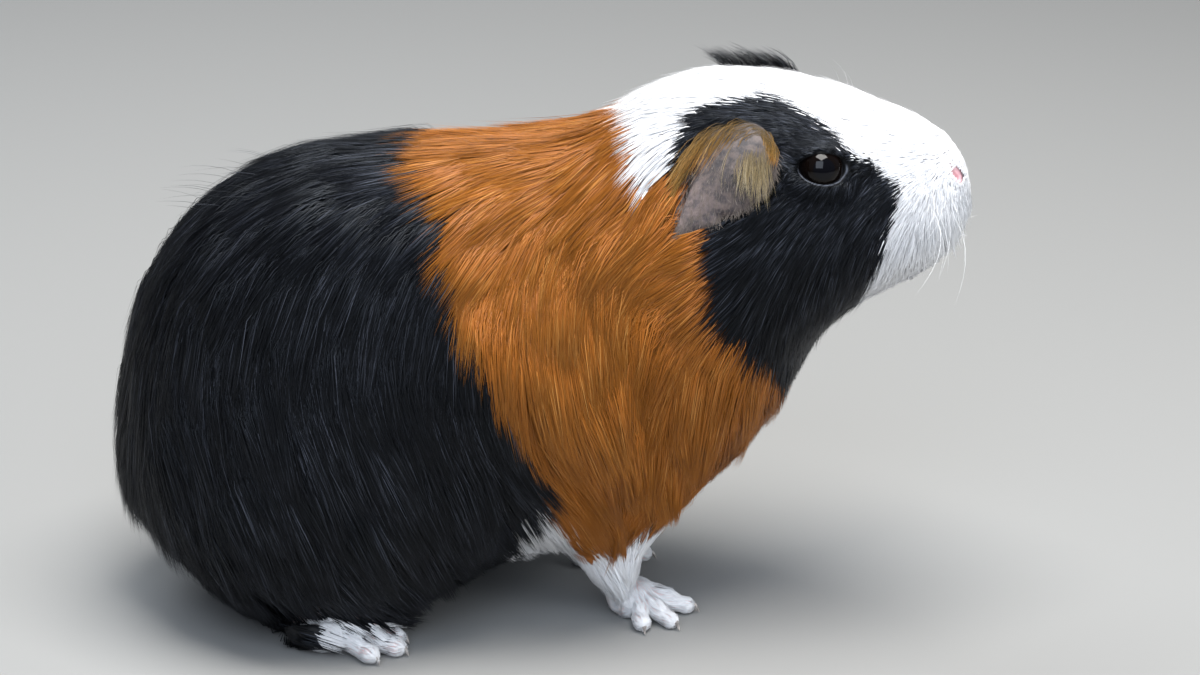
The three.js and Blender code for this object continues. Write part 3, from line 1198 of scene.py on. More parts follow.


# Black hair: its bluish-grey tips and pale strands are partly its own lighter hairs and partly a painted
# sheen.
BLACK = CoatFinish(
    "black_hair", "black_coat", root=(0.0015, 0.0015, 0.0018), middle=(0.003, 0.0031, 0.0037),
    tip=(0.008, 0.0085, 0.0105), pale=(0.075, 0.082, 0.105), pale_share=0.42, roughness=0.4,
    specular=0.2, shade=0.7, softness=0.45, sheen=(0.78, 0.87, 1.0),
)
GINGER = CoatFinish(
    "ginger_hair", "ginger_coat", root=(0.22, 0.065, 0.005), middle=(0.29, 0.09, 0.008),
    tip=(0.37, 0.125, 0.013), pale=(0.54, 0.25, 0.062), pale_share=0.4, roughness=0.42, specular=0.3,
    shade=0.75, softness=0.5,
)
WHITE = CoatFinish(
    "white_hair", "white_coat", root=(0.66, 0.65, 0.66), middle=(0.74, 0.74, 0.755),
    tip=(0.8, 0.805, 0.82), pale=(0.92, 0.92, 0.93), pale_share=0.4, roughness=0.6, specular=0.2,
    shade=0.3, softness=0.65,
)
GOLD = CoatFinish(
    "gold_hair", "ginger_coat", root=(0.07, 0.045, 0.016), middle=(0.2, 0.105, 0.022),
    tip=(0.44, 0.18, 0.03), pale=(0.6, 0.38, 0.15), pale_share=0.45, roughness=0.5, specular=0.25,
    shade=0.8, softness=0.3,
)
STRAW = CoatFinish(
    "straw_hair", "ginger_coat", root=(0.12, 0.09, 0.05), middle=(0.24, 0.18, 0.09),
    tip=(0.36, 0.29, 0.17), pale=(0.5, 0.43, 0.3), pale_share=0.45, roughness=0.5, specular=0.25,
    shade=0.8, softness=0.3,
)
DOWN = CoatFinish(
    "ear_down", "ear_skin", root=(0.09, 0.07, 0.062), middle=(0.15, 0.122, 0.105),
    tip=(0.2, 0.17, 0.145), pale=(0.36, 0.33, 0.3), pale_share=0.3, roughness=0.6, specular=0.2,
)
WHISKER = CoatFinish(
    "whisker", "white_coat", root=(0.7, 0.68, 0.66), middle=(0.85, 0.85, 0.85), tip=(0.9, 0.9, 0.9),
    pale=(0.95, 0.95, 0.95), pale_share=0.4, roughness=0.35, specular=0.4,
)
FINISHES = (BLACK, GINGER, WHITE)


# ---------------------------------------------------------------- skin


@dataclass
class Lids:
    """The lids of one eye, sculpted in the skin round the ball. Sizes are in millimetres."""

    half_width: float = 6.3
    half_height: float = 4.0
    forward: float = 0.3
    ball: float = 5.9
    socket: float = 4.9
    rim: float = 0.2
    reach: float = 11.0
    finest_reach: float = 8.5
    shaped_reach: float = 14.0
    outermost_ring: float = 2.15
    painted: float = 9.0
    lowest: float = -4.0

    def roundness(self, along: Array, up: Array) -> Array:
        """0 in the middle of the opening, 1 on its edge."""
        return np.sqrt(((along - self.forward) / self.half_width) ** 2 + (up / self.half_height) ** 2)

    def shape(self, local: Array) -> Array:
        """Moves the skin round an eye.

        Args:
            local: Places along, up and out from the middle of the eye.

        Returns:
            The places, moved.
        """
        along, up, out = local.T
        ring = self.roundness(along, up)
        edge = np.maximum(ring, 0.05)
        a, b = self.forward + (along - self.forward) / edge, up / edge
        upper = smoothstep(-0.3, 0.5, up / self.half_height)
        lip = np.sqrt(np.maximum(self.ball**2 - a**2 - b**2, 1.0)) + self.rim * (1.0 - 0.6 * upper)
        slope = lip + (out - lip) * smoothstep(1.05, self.outermost_ring, ring)
        slope = slope - 0.35 * bell(ring, 1.42, 0.13) * upper - 0.3 * bell(ring, 1.3, 0.1) * (1.0 - upper)
        slope = slope + 0.15 * bell(ring, 1.17, 0.1) * (1.0 - upper)
        socket = np.sqrt(np.maximum(self.socket**2 - along**2 - up**2, 0.04))
        inner = socket + (lip - socket) * smoothstep(0.86, 1.0, ring)
        moved = np.where(ring < 1.0, np.minimum(inner, lip), slope)
        near = (out > self.lowest) & (ring < self.outermost_ring)
        return np.column_stack([along, up, np.where(near, moved, out)])


@dataclass
class Muzzle:
    """The nostrils and the cleft under them, in the head's frame, for the left side."""

    nostril: tuple[tuple[float, float, float], ...] = ((33.0, 7.1, -3.4), (34.3, 6.1, -5.1))
    hole: float = 0.6
    rim: float = 0.25
    start: float = 22.0

    def nostril_distance(self, local: Array) -> Array:
        """How far each place is from the middle line of a nostril."""
        return line_distance(Anatomy.left_sided(local), self.nostril)

    def relief(self, local: Array) -> Array:
        """How far the skin stands out at each place of the head's frame.

        Args:
            local: Places of the head's frame.

        Returns:
            One height for each place, in millimetres.
        """
        away = self.nostril_distance(local)
        nostril = self.rim * bell(away, 1.7, 0.7) - self.hole * bell(away, 0.0, 0.65)
        across, up = np.abs(local[:, 1]), local[:, 2]
        cleft = -0.5 * bell(across, 0.0, 0.7) * smoothstep(-3.0, -6.0, up) * smoothstep(-20.0, -16.0, up)
        mouth = -0.8 * bell(up + 0.12 * across**2, -17.0, 0.8) * smoothstep(8.0, 5.0, across)
        lips = 0.5 * bell(up, -14.0, 2.6) * bell(across, 4.0, 3.0)
        return (nostril + cleft + mouth + lips) * smoothstep(self.start, self.start + 4.0, local[:, 0])


@dataclass
class Skin:
    """The one skin of head, trunk, legs, feet and ears. Sizes are in millimetres."""

    anatomy: Anatomy
    markings: Markings
    muzzle: Muzzle
    voxel: float = 1.15
    foot_voxel: float = 0.55
    foot_depth: float = 0.15
    foot_sunk: float = 0.7
    toe_segments: int = 20
    toe_rings: int = 12
    body_rounds: int = 24
    foot_rounds: int = 3
    sunk_rounds: int = 4
    overlap: float = 0.4
    same_place: float = 0.001
    nostril_reach: float = 4.5
    pink_reach: tuple[float, float] = (4.0, 2.4)
    # Where each nostril's opening is painted dark red: partly its own red, partly painted shade.
    hole_reach: tuple[float, float] = (0.8, 0.35)
    lids: Lids = field(default_factory=Lids)
    body_nodes: tuple[str, ...] = ("head", "nose", "neck", "trunk", "haunch_right", "haunch_left")
    leg_nodes: tuple[str, ...] = ("foreleg_right", "foreleg_left")

    def build(self) -> bpy.types.Object:
        """Makes the skin and takes every node of flesh off.

        Returns:
            The skin.
        """
        feet = tuple(foot.node for foot in Foot)
        eyes = tuple(f"eye_{side}" for side in SIDES)
        ears = tuple(f"ear_{side}" for side in SIDES)
        skin = self.joined("skin", self.body_nodes + self.leg_nodes + feet + eyes)
        self.remesh(skin, self.voxel, self.body_rounds)
        places = places_of(skin)
        depth = self.anatomy.depth(places) + self.foot_sunk * self.anatomy.footness(places)
        set_places(skin, places + normals_of(skin) * (self.anatomy.relief(places) - depth)[:, None])
        relax(skin, np.full(len(places), 1.0), self.sunk_rounds)
        for foot in Foot:
            self.unite(skin, self.foot(foot))
        for side in SIDES:
            self.unite(skin, self.anatomy.ear.build(self.anatomy.head, side))
        self.refine(skin, self.near_face)
        self.refine(skin, self.near_lids)
        self.sculpt(skin)
        self.dress(skin)
        return hand_over(skin, "white_coat", *self.body_nodes, *self.leg_nodes, *feet, *ears)

    def remesh(self, piece: bpy.types.Object, voxel: float, rounds: int) -> None:
        """Melts a piece's parts into one and smooths it.

        Args:
            piece: The piece.
            voxel: The size of the new faces, in millimetres.
            rounds: How often it is smoothed.
        """
        apply_modifier(piece, "REMESH", mode="VOXEL", voxel_size=voxel * MM, use_smooth_shade=True)
        relax(piece, 1.0 - 0.6 * self.anatomy.legness(places_of(piece)), rounds)

    def foot(self, foot: Foot) -> bpy.types.Object:
        """One foot, with finer faces than the body's and a round end to each toe.

        Args:
            foot: Which foot.

        Returns:
            The foot, closed.
        """
        parts = [self.joined(foot.node + "_skin", (foot.node,))]
        for tip in foot.tips():
            parts.append(ball(self.toe_segments, self.toe_rings, foot.toe_radius * MM))
            set_places(parts[-1], places_of(parts[-1]) + tip)
        whole = pick(*parts)
        bpy.ops.object.join()
        self.remesh(whole, self.foot_voxel, self.foot_rounds)
        set_places(whole, places_of(whole) - normals_of(whole) * self.foot_depth)
        return whole

    @staticmethod
    def unite(skin: bpy.types.Object, part: bpy.types.Object) -> None:
        """Joins a closed part to the skin, and takes the part away."""
        apply_modifier(skin, "BOOLEAN", operation="UNION", solver="MANIFOLD", object=part)
        bpy.data.objects.remove(part)

    def near_face(self, places: Array) -> Array:
        """Whether each place is on the muzzle or near an eye."""
        ahead = self.anatomy.head.inwards(places)[:, 0] > self.muzzle.start
        return ahead | (self.anatomy.eye_distance(places) < self.lids.reach)

    def near_lids(self, places: Array) -> Array:
        """Whether each place is near an eye or a nostril."""
        away = self.muzzle.nostril_distance(self.anatomy.head.inwards(places))
        return (away < self.nostril_reach) | (self.anatomy.eye_distance(places) < self.lids.finest_reach)

    @staticmethod
    def refine(skin: bpy.types.Object, where: Callable[[Array], Array]) -> None:
        """Halves the faces of a part of the skin.

        Args:
            skin: The skin.
            where: Which places the part takes in.
        """
        pick(skin)
        inside = where(places_of(skin))
        chosen = [all(inside[corner] for corner in face.vertices) for face in skin.data.polygons]
        # The first round makes edges and corners follow the faces. With all of them left selected,
        # subdivide crashes.
        skin.data.polygons.foreach_set("select", chosen)
        bpy.ops.object.mode_set(mode="EDIT")
        bpy.ops.mesh.select_mode(type="FACE")
        bpy.ops.object.mode_set(mode="OBJECT")
        skin.data.polygons.foreach_set("select", chosen)
        bpy.ops.object.mode_set(mode="EDIT")
        bpy.ops.mesh.subdivide(number_cuts=1, smoothness=0.0)
        bpy.ops.object.mode_set(mode="OBJECT")

    def sculpt(self, skin: bpy.types.Object) -> None:
        """Shapes the lids, the nostrils and the cleft of the lip.

        Args:
            skin: The skin.
        """
        head = self.anatomy.head
        places = places_of(skin)
        places = places + normals_of(skin) * self.muzzle.relief(head.inwards(places))[:, None]
        for side in SIDES:
            near = self.anatomy.eye_distance(places) < self.lids.shaped_reach
            near &= (head.inwards(places)[:, 1] > 0.0) == (side == "left")
            shaped = self.lids.shape(head.eye_places(places[near], side))
            places[near] = shaped @ head.eye_axes(side) + head.eye_centre(side)
        set_places(skin, places)
        close = self.anatomy.eye_distance(places) < self.lids.reach
        relax(skin, 0.5 * close, 1)

    def dress(self, skin: bpy.types.Object) -> None:
        """Gives the skin the coat's markings and paints what is bare, with a painted glint on each lower
        lid's wet rim and partly painted shade in each nostril's opening.

        Args:
            skin: The skin.
        """
        places = places_of(skin)
        coat = self.markings.shares(places)
        local = self.anatomy.head.inwards(places)
        down, _, _ = self.anatomy.ear.measured(Anatomy.left_sided(local))
        ear = self.anatomy.earness(places) * (0.6 + 0.4 * smoothstep(0.35, 0.85, down))
        foot = self.anatomy.footness(places, 0.6)
        away = self.muzzle.nostril_distance(local)
        # The pink nose, and the nostrils' openings painted dark red, partly painted shade.
        nose, hole = smoothstep(*self.pink_reach, away), smoothstep(*self.hole_reach, away)
        lid, wet_rim_glint = np.zeros(len(places)), np.zeros(len(places))
        for side in SIDES:
            along, up, out = self.anatomy.head.eye_places(places, side).T
            ring = self.lids.roundness(along, up)
            front = (out > self.lids.lowest) * (np.abs(along) < self.lids.painted)
            lid = np.maximum(lid, front * smoothstep(1.7, 1.3, ring))
            # The thin rim under each eye, where a light grey-blue reflection of the wet lid is painted.
            below = smoothstep(0.8, -0.8, up - 0.12 * along)
            wet_rim_glint = np.maximum(wet_rim_glint, front * bell(ring, 1.02, 0.035) * below)
        add_attribute(skin, "coat", coat)
        add_attribute(skin, "bare", np.column_stack([ear, foot, nose]))
        add_attribute(skin, "lid", np.column_stack([lid, wet_rim_glint, hole]))
        skin.data.materials.clear()
        skin.data.materials.append(self.material())

    @staticmethod
    def material() -> bpy.types.Material:
        """Skin that is dark or pale as the hair over it, and pink or grey where it is bare. A glint is
        painted on each lower lid's wet rim, and each nostril's dark red opening is partly painted shade.

        Returns:
            The material.
        """
        surface = Surface("skin", Specular_IOR_Level=0.35)
        _, ginger, white = surface.attribute("coat")
        ear, foot, nose = surface.attribute("bare")
        lid, wet_rim_glint, hole = surface.attribute("lid")
        mottle = surface.noise(2.2, 4.0)
        colour = surface.mix(rgba(0.008, 0.008, 0.009), rgba(0.3, 0.1, 0.02), ginger)
        colour = surface.mix(colour, rgba(0.86, 0.8, 0.78), white)
        veins = surface.mix(rgba(0.04, 0.035, 0.037), rgba(0.1, 0.078, 0.072), mottle.step(0.35, 0.65))
        low = surface.mix(rgba(0.1, 0.085, 0.09), rgba(0.24, 0.185, 0.175), mottle.step(0.35, 0.65))
        veins = surface.mix(veins, low, ear.step(0.6, 1.0))
        colour = surface.mix(colour, veins, ear.step(0.1, 0.5))
        pads = surface.mix(rgba(0.82, 0.62, 0.61), rgba(0.86, 0.75, 0.74), mottle.step(0.35, 0.7))
        colour = surface.mix(colour, pads, foot)
        colour = surface.mix(colour, rgba(0.84, 0.5, 0.53), nose)
        colour = surface.mix(colour, rgba(0.003, 0.003, 0.0035), lid)
        # Painted reflection: light grey-blue on the wet rim of each lower lid; its lower roughness below is
        # real gloss.
        colour = surface.mix(colour, rgba(0.12, 0.13, 0.16), wet_rim_glint)
        # Dark red in each nostril's opening: partly its own red, partly painted shade.
        surface.set("Base Color", surface.mix(colour, rgba(0.3, 0.04, 0.06), hole))
        surface.set("Roughness", 0.6 + lid * 0.3 - wet_rim_glint * 0.5 - nose * 0.2)
        surface.bump(surface.noise(0.7, 3.0), 0.12)
        return surface.material

    def joined(self, name: str, nodes: Sequence[str]) -> bpy.types.Object:
        """Copies of some nodes, swollen until they overlap, in one object.

        Args:
            name: The object's name.
            nodes: The nodes to copy.

        Returns:
            The object.
        """
        copies = [bpy.data.objects.new(name, frame["nodes"][node].data.copy()) for node in nodes]
        for copy in copies:
            bpy.context.scene.collection.objects.link(copy)
        whole = pick(*copies)
        if len(copies) > 1:
            bpy.ops.object.join()
        with editing(whole):
            bpy.ops.mesh.remove_doubles(threshold=self.same_place * MM)
        whole.data.materials.clear()
        set_places(whole, places_of(whole) + normals_of(whole) * self.overlap)
        return whole


# ---------------------------------------------------------------- eyes and claws


@dataclass
class EyeBalls:
    """The two glossy balls of the eyes. Sizes are in millimetres."""

    radius: float = 5.85
    cornea: float = 0.15
    cornea_width: float = 3.6
    pupil: tuple[float, float] = (0.86, 0.9)
    iris: tuple[float, float] = (0.3, 0.5)
    segments: int = 64
    rings: int = 48

    def build(self, head: HeadFrame) -> None:
        """Makes both balls, in place of the solids' eyes."""
        finish = self.material()
        for side in SIDES:
            eye = ball(self.segments, self.rings, 1.0)
            eye.name = f"eyeball_{side}"
            shape = places_of(eye) * MM
            out = shape[:, 2]
            narrow = (self.cornea_width / self.radius) ** 2 * 0.6
            swell = self.radius + self.cornea * bell(1.0 - out, 0.0, narrow)
            set_places(eye, (shape * swell[:, None]) @ head.eye_axes(side) + head.eye_centre(side))
            with editing(eye):
                bpy.ops.mesh.normals_make_consistent(inside=False)
            bpy.ops.object.shade_smooth()
            rings = [out, smoothstep(*self.pupil, out), smoothstep(*self.iris, out)]
            add_attribute(eye, "iris", np.column_stack(rings))
            eye.data.materials.append(finish)
            hand_over(eye, "eye_black", f"eye_{side}")

    @staticmethod
    def material() -> bpy.types.Material:
        """Wet black with a very dark brown iris.

        Returns:
            The material.
        """
        surface = Surface("wet_eye", Roughness=0.03, Specular_IOR_Level=0.2)
        _, pupil, iris = surface.attribute("iris")
        colour = surface.mix(rgba(0.004, 0.003, 0.003), rgba(0.003, 0.0018, 0.0014), iris)
        surface.set("Base Color", surface.mix(colour, rgba(0.002, 0.002, 0.003), pupil))
        return surface.material


def dress_claws() -> None:
    """Gives the claws a grey horn, streaked darker and lighter."""
    surface = Surface("claw_horn", Roughness=0.3, Specular_IOR_Level=0.5)
    streaks = surface.noise(1.3, 4.0)
    horn = surface.mix(rgba(0.22, 0.2, 0.19), rgba(0.48, 0.44, 0.41), streaks.step(0.35, 0.65))
    surface.set("Base Color", horn)
    for name, node in frame["nodes"].items():
        if name.startswith("claw_"):
            node.data.materials.clear()
            node.data.materials.append(surface.material)


# ---------------------------------------------------------------- coat


@dataclass
class Pelt:
    """A stretch of skin that hair grows from, combed the way the coat lies."""

    anatomy: Anatomy
    skin: bpy.types.Object
    combings: int = 10

    def __post_init__(self) -> None:
        """Reads the skin's shape and combs it."""
        mesh = self.skin.data
        mesh.calc_loop_triangles()
        self.triangles = read(mesh.loop_triangles, "vertices", 3, np.int32)
        self.places = places_of(self.skin)
        self.normals = normals_of(self.skin)
        self.tree = BVHTree.FromPolygons(self.places.tolist(), self.triangles.tolist())
        self.heading = self.combed()

    def combed(self) -> Array:
        """The lie of the coat at each vertex, without sudden turns.

        Returns:
            A heading of length 1 for each vertex.
        """
        heading = self.anatomy.lie(self.places, self.normals)
        for _ in range(self.combings):
            heading = tangent(heading + neighbour_sum(self.skin, heading), self.normals)
        return heading

    def sown(
        self, rng: np.random.Generator, count: int, density: Callable[[Array], Array]
    ) -> tuple[Array, Array]:
        """Roots strewn over the skin.

        Args:
            rng: Where the chances come from.
            count: How many roots.
            density: How thick the roots stand at each place, on any scale.

        Returns:
            One place for each root, and how many roots share a square millimetre there.
        """
        a, b, c = (self.places[self.triangles[:, corner]] for corner in range(3))
        area = 0.5 * np.linalg.norm(np.cross(b - a, c - a), axis=1)
        thick = density((a + b + c) / 3.0)
        total = (area * thick).sum()
        chosen = rng.choice(len(area), count, p=area * thick / total)
        p, q = rng.random((2, count, 1))
        over = p + q > 1.0
        p, q = np.where(over, 1.0 - p, p), np.where(over, 1.0 - q, q)
        roots = a[chosen] + p * (b - a)[chosen] + q * (c - a)[chosen]
        return roots, count * thick[chosen] / total

    def nearest(self, places: Array) -> tuple[Array, Array, Array]:
        """The skin nearest to each place.

        Args:
            places: Places near the skin.

        Returns:
            The place on the skin, its normal and the heading of the coat there.
        """
        found = [self.tree.find_nearest(place) for place in places.tolist()]
        foot = np.array([hit[0] for hit in found])
        corners = self.triangles[[hit[2] for hit in found]]
        away = np.linalg.norm(self.places[corners] - foot[:, None], axis=2)
        weight = 1.0 / (away + 0.1)
        weight = (weight / weight.sum(axis=1, keepdims=True))[:, :, None]
        normal = unit((self.normals[corners] * weight).sum(axis=1))
        return foot, normal, tangent((self.heading[corners] * weight).sum(axis=1), normal)


@dataclass
class Locks:
    """Hairs as arrays, with a row for each hair and a ring of vertices at each share of its length."""

    shares: Array
    taper: Array
    spines: Array
    normals: Array
    widths: Array
    chance: Array
    clump: Array

    def at(self, share: float) -> Array:
        """Each hair's place at a share of its length.

        Args:
            share: The share, from 0 at the root to 1 at the tip.

        Returns:
            One place for each hair.
        """
        ring = int(np.searchsorted(self.shares, share))
        before, after = self.shares[ring - 1], self.shares[ring]
        part = (share - before) / (after - before)
        return self.spines[:, ring - 1] * (1.0 - part) + self.spines[:, ring] * part

    def taken(self, chosen: Array) -> "Locks":
        """Some of the hairs."""
        rows = (self.spines, self.normals, self.widths, self.chance, self.clump)
        return Locks(self.shares, self.taper, *(row[chosen] for row in rows))

    def gather(self, rng: np.random.Generator, crowd: Array, cell: Array, pull: Array) -> None:
        """Draws the tips of the hairs of each clump towards the hair that leads it.

        Args:
            rng: Where the chances come from.
            crowd: How many hairs share a square millimetre at each root.
            cell: How wide a clump is there.
            pull: How strongly a tip follows, 0 to 1.
        """
        roots = self.spines[:, 0]
        leaders = np.flatnonzero(rng.random(len(roots)) < 1.0 / (crowd * cell**2))
        tree = KDTree(len(leaders))
        for number, leader in enumerate(leaders.tolist()):
            tree.insert(roots[leader], number)
        tree.balance()
        led = np.array([tree.find(root)[1] for root in roots.tolist()])
        weight = pull[:, None] * self.shares[None, :] ** 1.6
        self.spines += weight[:, :, None] * (self.spines[leaders[led]] - self.spines)
        self.clump = 0.5 * self.clump + 0.5 * rng.random(len(leaders))[led]

    def start_later(self, chosen: Array, depth: Array) -> None:
        """Moves the roots of some hairs under their first ring, so that they cross less of another colour.

        Args:
            chosen: Which hairs.
            depth: How deep the coat is at each hair's first ring.
        """
        sunk, onwards = 0.75, 0.35
        late = self.spines[:, 1] - sunk * depth[:, None] * self.normals[:, 1]
        self.spines[chosen, 0] = late[chosen]
        self.spines[chosen, 1] += onwards * (self.spines[chosen, 2] - self.spines[chosen, 1])

    @staticmethod
    def soften(piece: bpy.types.Object, leaning: Array, softness: float) -> None:
        """Turns the shading of the hairs' outer faces towards the coat's own surface.

        Args:
            piece: The hairs.
            leaning: The skin's normal at each vertex.
            softness: How far the shading turns, 0 to 1.
        """
        least_facing = 0.05
        corners = corners_of(piece)
        faces = np.repeat(read(piece.data.polygons, "normal", 3), 3, axis=0)
        own = normals_of(piece)[corners]
        soft = unit(own * (1.0 - softness) + leaning[corners] * softness)
        facing = np.sum(soft * faces, axis=1)
        soft = np.where((facing > least_facing)[:, None], soft, faces)
        piece.data.normals_split_custom_set(soft.tolist())

    def mesh(
        self, name: str, unwrap: Array, thickness: float, twist: float, softness: float
    ) -> bpy.types.Object:
        """One piece of all the hairs, each a closed lock with a three-sided section.

        Args:
            name: The piece's name.
            unwrap: Each root's place on an unwrap of the skin, 0 to 1.
            thickness: A lock's thickness as a share of its width.
            twist: How far a lock may turn about its own spine.
            softness: How far its shading turns towards the coat's surface, 0 to 1.

        Returns:
            The piece.
        """
        count, rings = self.spines.shape[:2]
        forward = unit(np.gradient(self.spines, axis=1))
        up = tangent(self.normals, forward)
        side = np.cross(forward, up)
        turn = ((self.chance * 7.31) % 1.0 * 2.0 - 1.0)[:, None, None] * twist
        side, up = np.cos(turn) * side + np.sin(turn) * up, np.cos(turn) * up - np.sin(turn) * side
        half = 0.5 * self.widths[:, None, None] * self.taper[None, :, None]
        section = (-side * half, up * 2.0 * thickness * half, side * half)
        ring = np.stack([self.spines + corner for corner in section], axis=2)[:, 1:-1]
        full = 3 * (rings - 2)
        ring = ring.reshape(count, full, 3)
        places = np.concatenate([self.spines[:, :1], ring, self.spines[:, -1:]], axis=1)

        tip, last = full + 1, full - 2
        sides = ((0, 1), (1, 2), (2, 0))
        faces = [(0, 1 + b, 1 + a) for a, b in sides]
        for start in range(1, last, 3):
            for a, b in np.array(sides) + start:
                faces += [(a, b, b + 3), (a, b + 3, a + 3)]
        faces += [(last + a, last + b, tip) for a, b in sides]
        triangles = np.arange(count)[:, None, None] * (full + 2) + np.array(faces)[None]
        piece = mesh_from_arrays(name, places.reshape(-1, 3), triangles.reshape(-1, 3))
        leaning = np.repeat(self.normals[:, 1:-1], 3, axis=1)
        leaning = np.concatenate([self.normals[:, :1], leaning, self.normals[:, -1:]], axis=1)
        self.soften(piece, leaning.reshape(-1, 3), softness)

        along = np.concatenate([[0.0], np.repeat(self.shares[1:-1], 3), [1.0]])
        across = np.concatenate([[0.0], np.tile((-0.4, 0.0, 0.4), rings - 2), [0.0]])
        rows = [self.chance[:, None], along[None], self.clump[:, None]]
        rows = [np.broadcast_to(row, (count, full + 2)) for row in rows]
        add_attribute(piece, "lock", np.stack(rows, axis=2).reshape(-1, 3))
        low, high = unwrap.min(axis=0), unwrap.max(axis=0)
        spot = 0.01 + 0.98 * (unwrap - low) / np.maximum(high - low, 1e-6)
        spread = PATCH * np.column_stack([along - 0.5, across])
        add_map(piece, (spot[:, None] + spread[None]).reshape(-1, 2))
        return piece


@dataclass
class Tuft:
    """Hairs that stand on their own, each turning from a first heading to a last one.

    Lengths, widths and cells are in millimetres. A cell of 0 leaves the hairs ungathered.
    """

    roots: Array
    normals: Array
    first: Array
    last: Array
    length: Array
    width: Array
    turned_by: float = 1.0
    stations: int = 5
    crowd: float = 1.0
    cell: float = 0.0
    pull: float = 0.45


@dataclass
class Coat:
    """The hair of a pelt, sown, grown, gathered, cleared and made into pieces. Sizes are in millimetres."""

    anatomy: Anatomy
    markings: Markings
    muzzle: Muzzle
    rng: np.random.Generator
    thickness: float = 0.2
    twist: float = math.radians(12.0)
    piece_limit: int = 190000
    rise: float = 0.34
    stations: tuple[float, ...] = (0.0, 0.38, 1.0)
    taper: tuple[float, ...] = (0.0, 1.0, 0.0)
    foot_stations: tuple[float, ...] = (0.0, 0.3, 0.65, 1.0)
    foot_taper: tuple[float, ...] = (0.0, 1.0, 0.8, 0.0)
    widths: tuple[tuple[float, ...], ...] = ((5.0, 8.0, 14.0, 25.0), (0.24, 0.28, 0.32, 0.34))
    guard_share: float = 0.05
    root_sunk: float = 0.25
    colour_at: float = 0.7
    above_floor: float = 0.35
    strays_above_floor: float = 0.15
    slit_half_width: float = 6.8
    slit_above: float = 4.4
    slit_below: float = 4.8
    nostril_bare: float = 1.1
    nostril_clear: float = 1.25
    petal: tuple[float, ...] = (0.97, 0.49, -1.3, 9.0)

    def width(self, places: Array) -> Array:
        """How wide a lock is."""
        return np.interp(self.anatomy.length(places), *self.widths)

    def density(self, places: Array, region: Region) -> Array:
        """How thick a region's hairs stand, so that as many layers lie over each place.

        Args:
            places: Places on the skin.
            region: The region.

        Returns:
            The density at each place, on any scale.
        """
        layers = 1.0 - 0.55 * smoothstep(0.88, 0.99, self.anatomy.height_share(places))
        thick = layers / (self.anatomy.length(places) * self.width(places))
        return thick * region.share(self.anatomy, places)

    def grow(self, pelt: Pelt, roots: Array, shares: Array, taper: Array) -> Locks:
        """Grows a hair from each root along the lie of the coat.

        Args:
            pelt: The skin that they grow from.
            roots: Where the hairs start.
            shares: The shares of the length at which each has a ring of vertices.
            taper: The share of the width at each ring.

        Returns:
            The hairs.
        """
        count = len(roots)
        skin, normal, heading = pelt.nearest(roots)
        guard = self.rng.random(count) < self.guard_share
        length = self.anatomy.length(skin) * self.rng.uniform(0.78, 1.1, count) * (1.0 + 0.2 * guard)
        headness = self.anatomy.headness(roots)
        swell = (0.07 + 0.05 * (1.0 - headness)) * wander(roots, 13.0, 31) + 0.05 * wander(roots, 5.0, 32)
        loft = 1.03 - 0.34 * self.rng.random(count) ** 2 + swell
        loft = loft + self.rng.uniform(0.05, 0.5, count) * guard
        stray = self.rng.normal(0.0, 0.04, (count, 1))
        spines, normals = [], []
        for before, share in zip(np.append(0.0, shares), shares):
            if share > 0.0:
                way = unit(heading + stray * np.cross(normal, heading))
                skin, normal, heading = pelt.nearest(skin + (length * (share - before))[:, None] * way)
            height = self.anatomy.depth(skin) * loft * share**self.rise
            spines.append(skin + normal * (height - self.root_sunk * (share == 0.0))[:, None])
            normals.append(normal)
        self.hang(spines, normals, length, shares)
        width = self.width(roots) * self.rng.uniform(0.75, 1.25, count) * (1.0 - 0.3 * guard)
        rings = np.stack(spines, axis=1), np.stack(normals, axis=1)
        return Locks(shares, taper, *rings, width, self.rng.random(count), np.full(count, 0.5))

    def hang(self, spines: list[Array], normals: list[Array], length: Array, shares: Array) -> None:
        """Lets tips that would curl under the body or a toe hang straight, and keeps them off the floor.

        Args:
            spines: The hairs' places at each ring.
            normals: The skin's normals there.
            length: The hairs' lengths.
            shares: The share of the length at each ring.
        """
        under = smoothstep(0.0, -0.5, normals[-1][:, 2]) * smoothstep(-0.5, -0.1, normals[-2][:, 2])
        under *= 1.0 - 0.6 * smoothstep(-75.0, -95.0, spines[0][:, 0])
        way = unit(unit(spines[-2] - spines[-3]) + np.array([0.0, 0.0, -0.25]))
        straight = spines[-2] + way * (length * (shares[-1] - shares[-2]))[:, None]
        spines[-1] += 0.75 * under[:, None] * (straight - spines[-1])
        normals[-1] = unit(normals[-1] + under[:, None] * (normals[-2] - normals[-1]))
        for place in spines[1:]:
            place[:, 2] = np.maximum(place[:, 2], self.above_floor)

    def clear(self, locks: Locks) -> Array:
        """Which hairs keep clear of the eyes, the nostrils, the ears' petals and the feet.

        Args:
            locks: The hairs.

        Returns:
            Whether each hair is kept.
        """
        head, breadth, length, under, over = self.anatomy.head, *self.petal
        roots = locks.spines[:, 0]
        on_foot = (self.anatomy.footness(roots, 6.0) > 0.1) | (self.anatomy.legness(roots) > 0.4)
        keep = self.muzzle.nostril_distance(head.inwards(roots)) > self.nostril_bare
        rings = [locks.spines[:, ring] for ring in range(1, locks.spines.shape[1])]
        middles = [(before + after) / 2.0 for before, after in zip(rings, rings[1:])]
        for places in rings + middles:
            for side in SIDES:
                along, up, out = head.eye_places(places, side).T
                half_height = np.where(up > 0.0, self.slit_above, self.slit_below)
                keep &= ((along / self.slit_half_width) ** 2 + (up / half_height) ** 2 > 1.0) | (out < 0.0)
            keep &= on_foot | (self.anatomy.footness(places, 2.0) < 0.85)
            local = self.anatomy.left_sided(head.inwards(places))
            down, across, off = self.anatomy.ear.measured(local)
            beside = (np.abs(across) > breadth) | (np.abs(down - 0.5) > length)
            keep &= beside | (off < under) | (off > over)
            keep &= self.muzzle.nostril_distance(local) > self.nostril_clear
        return keep

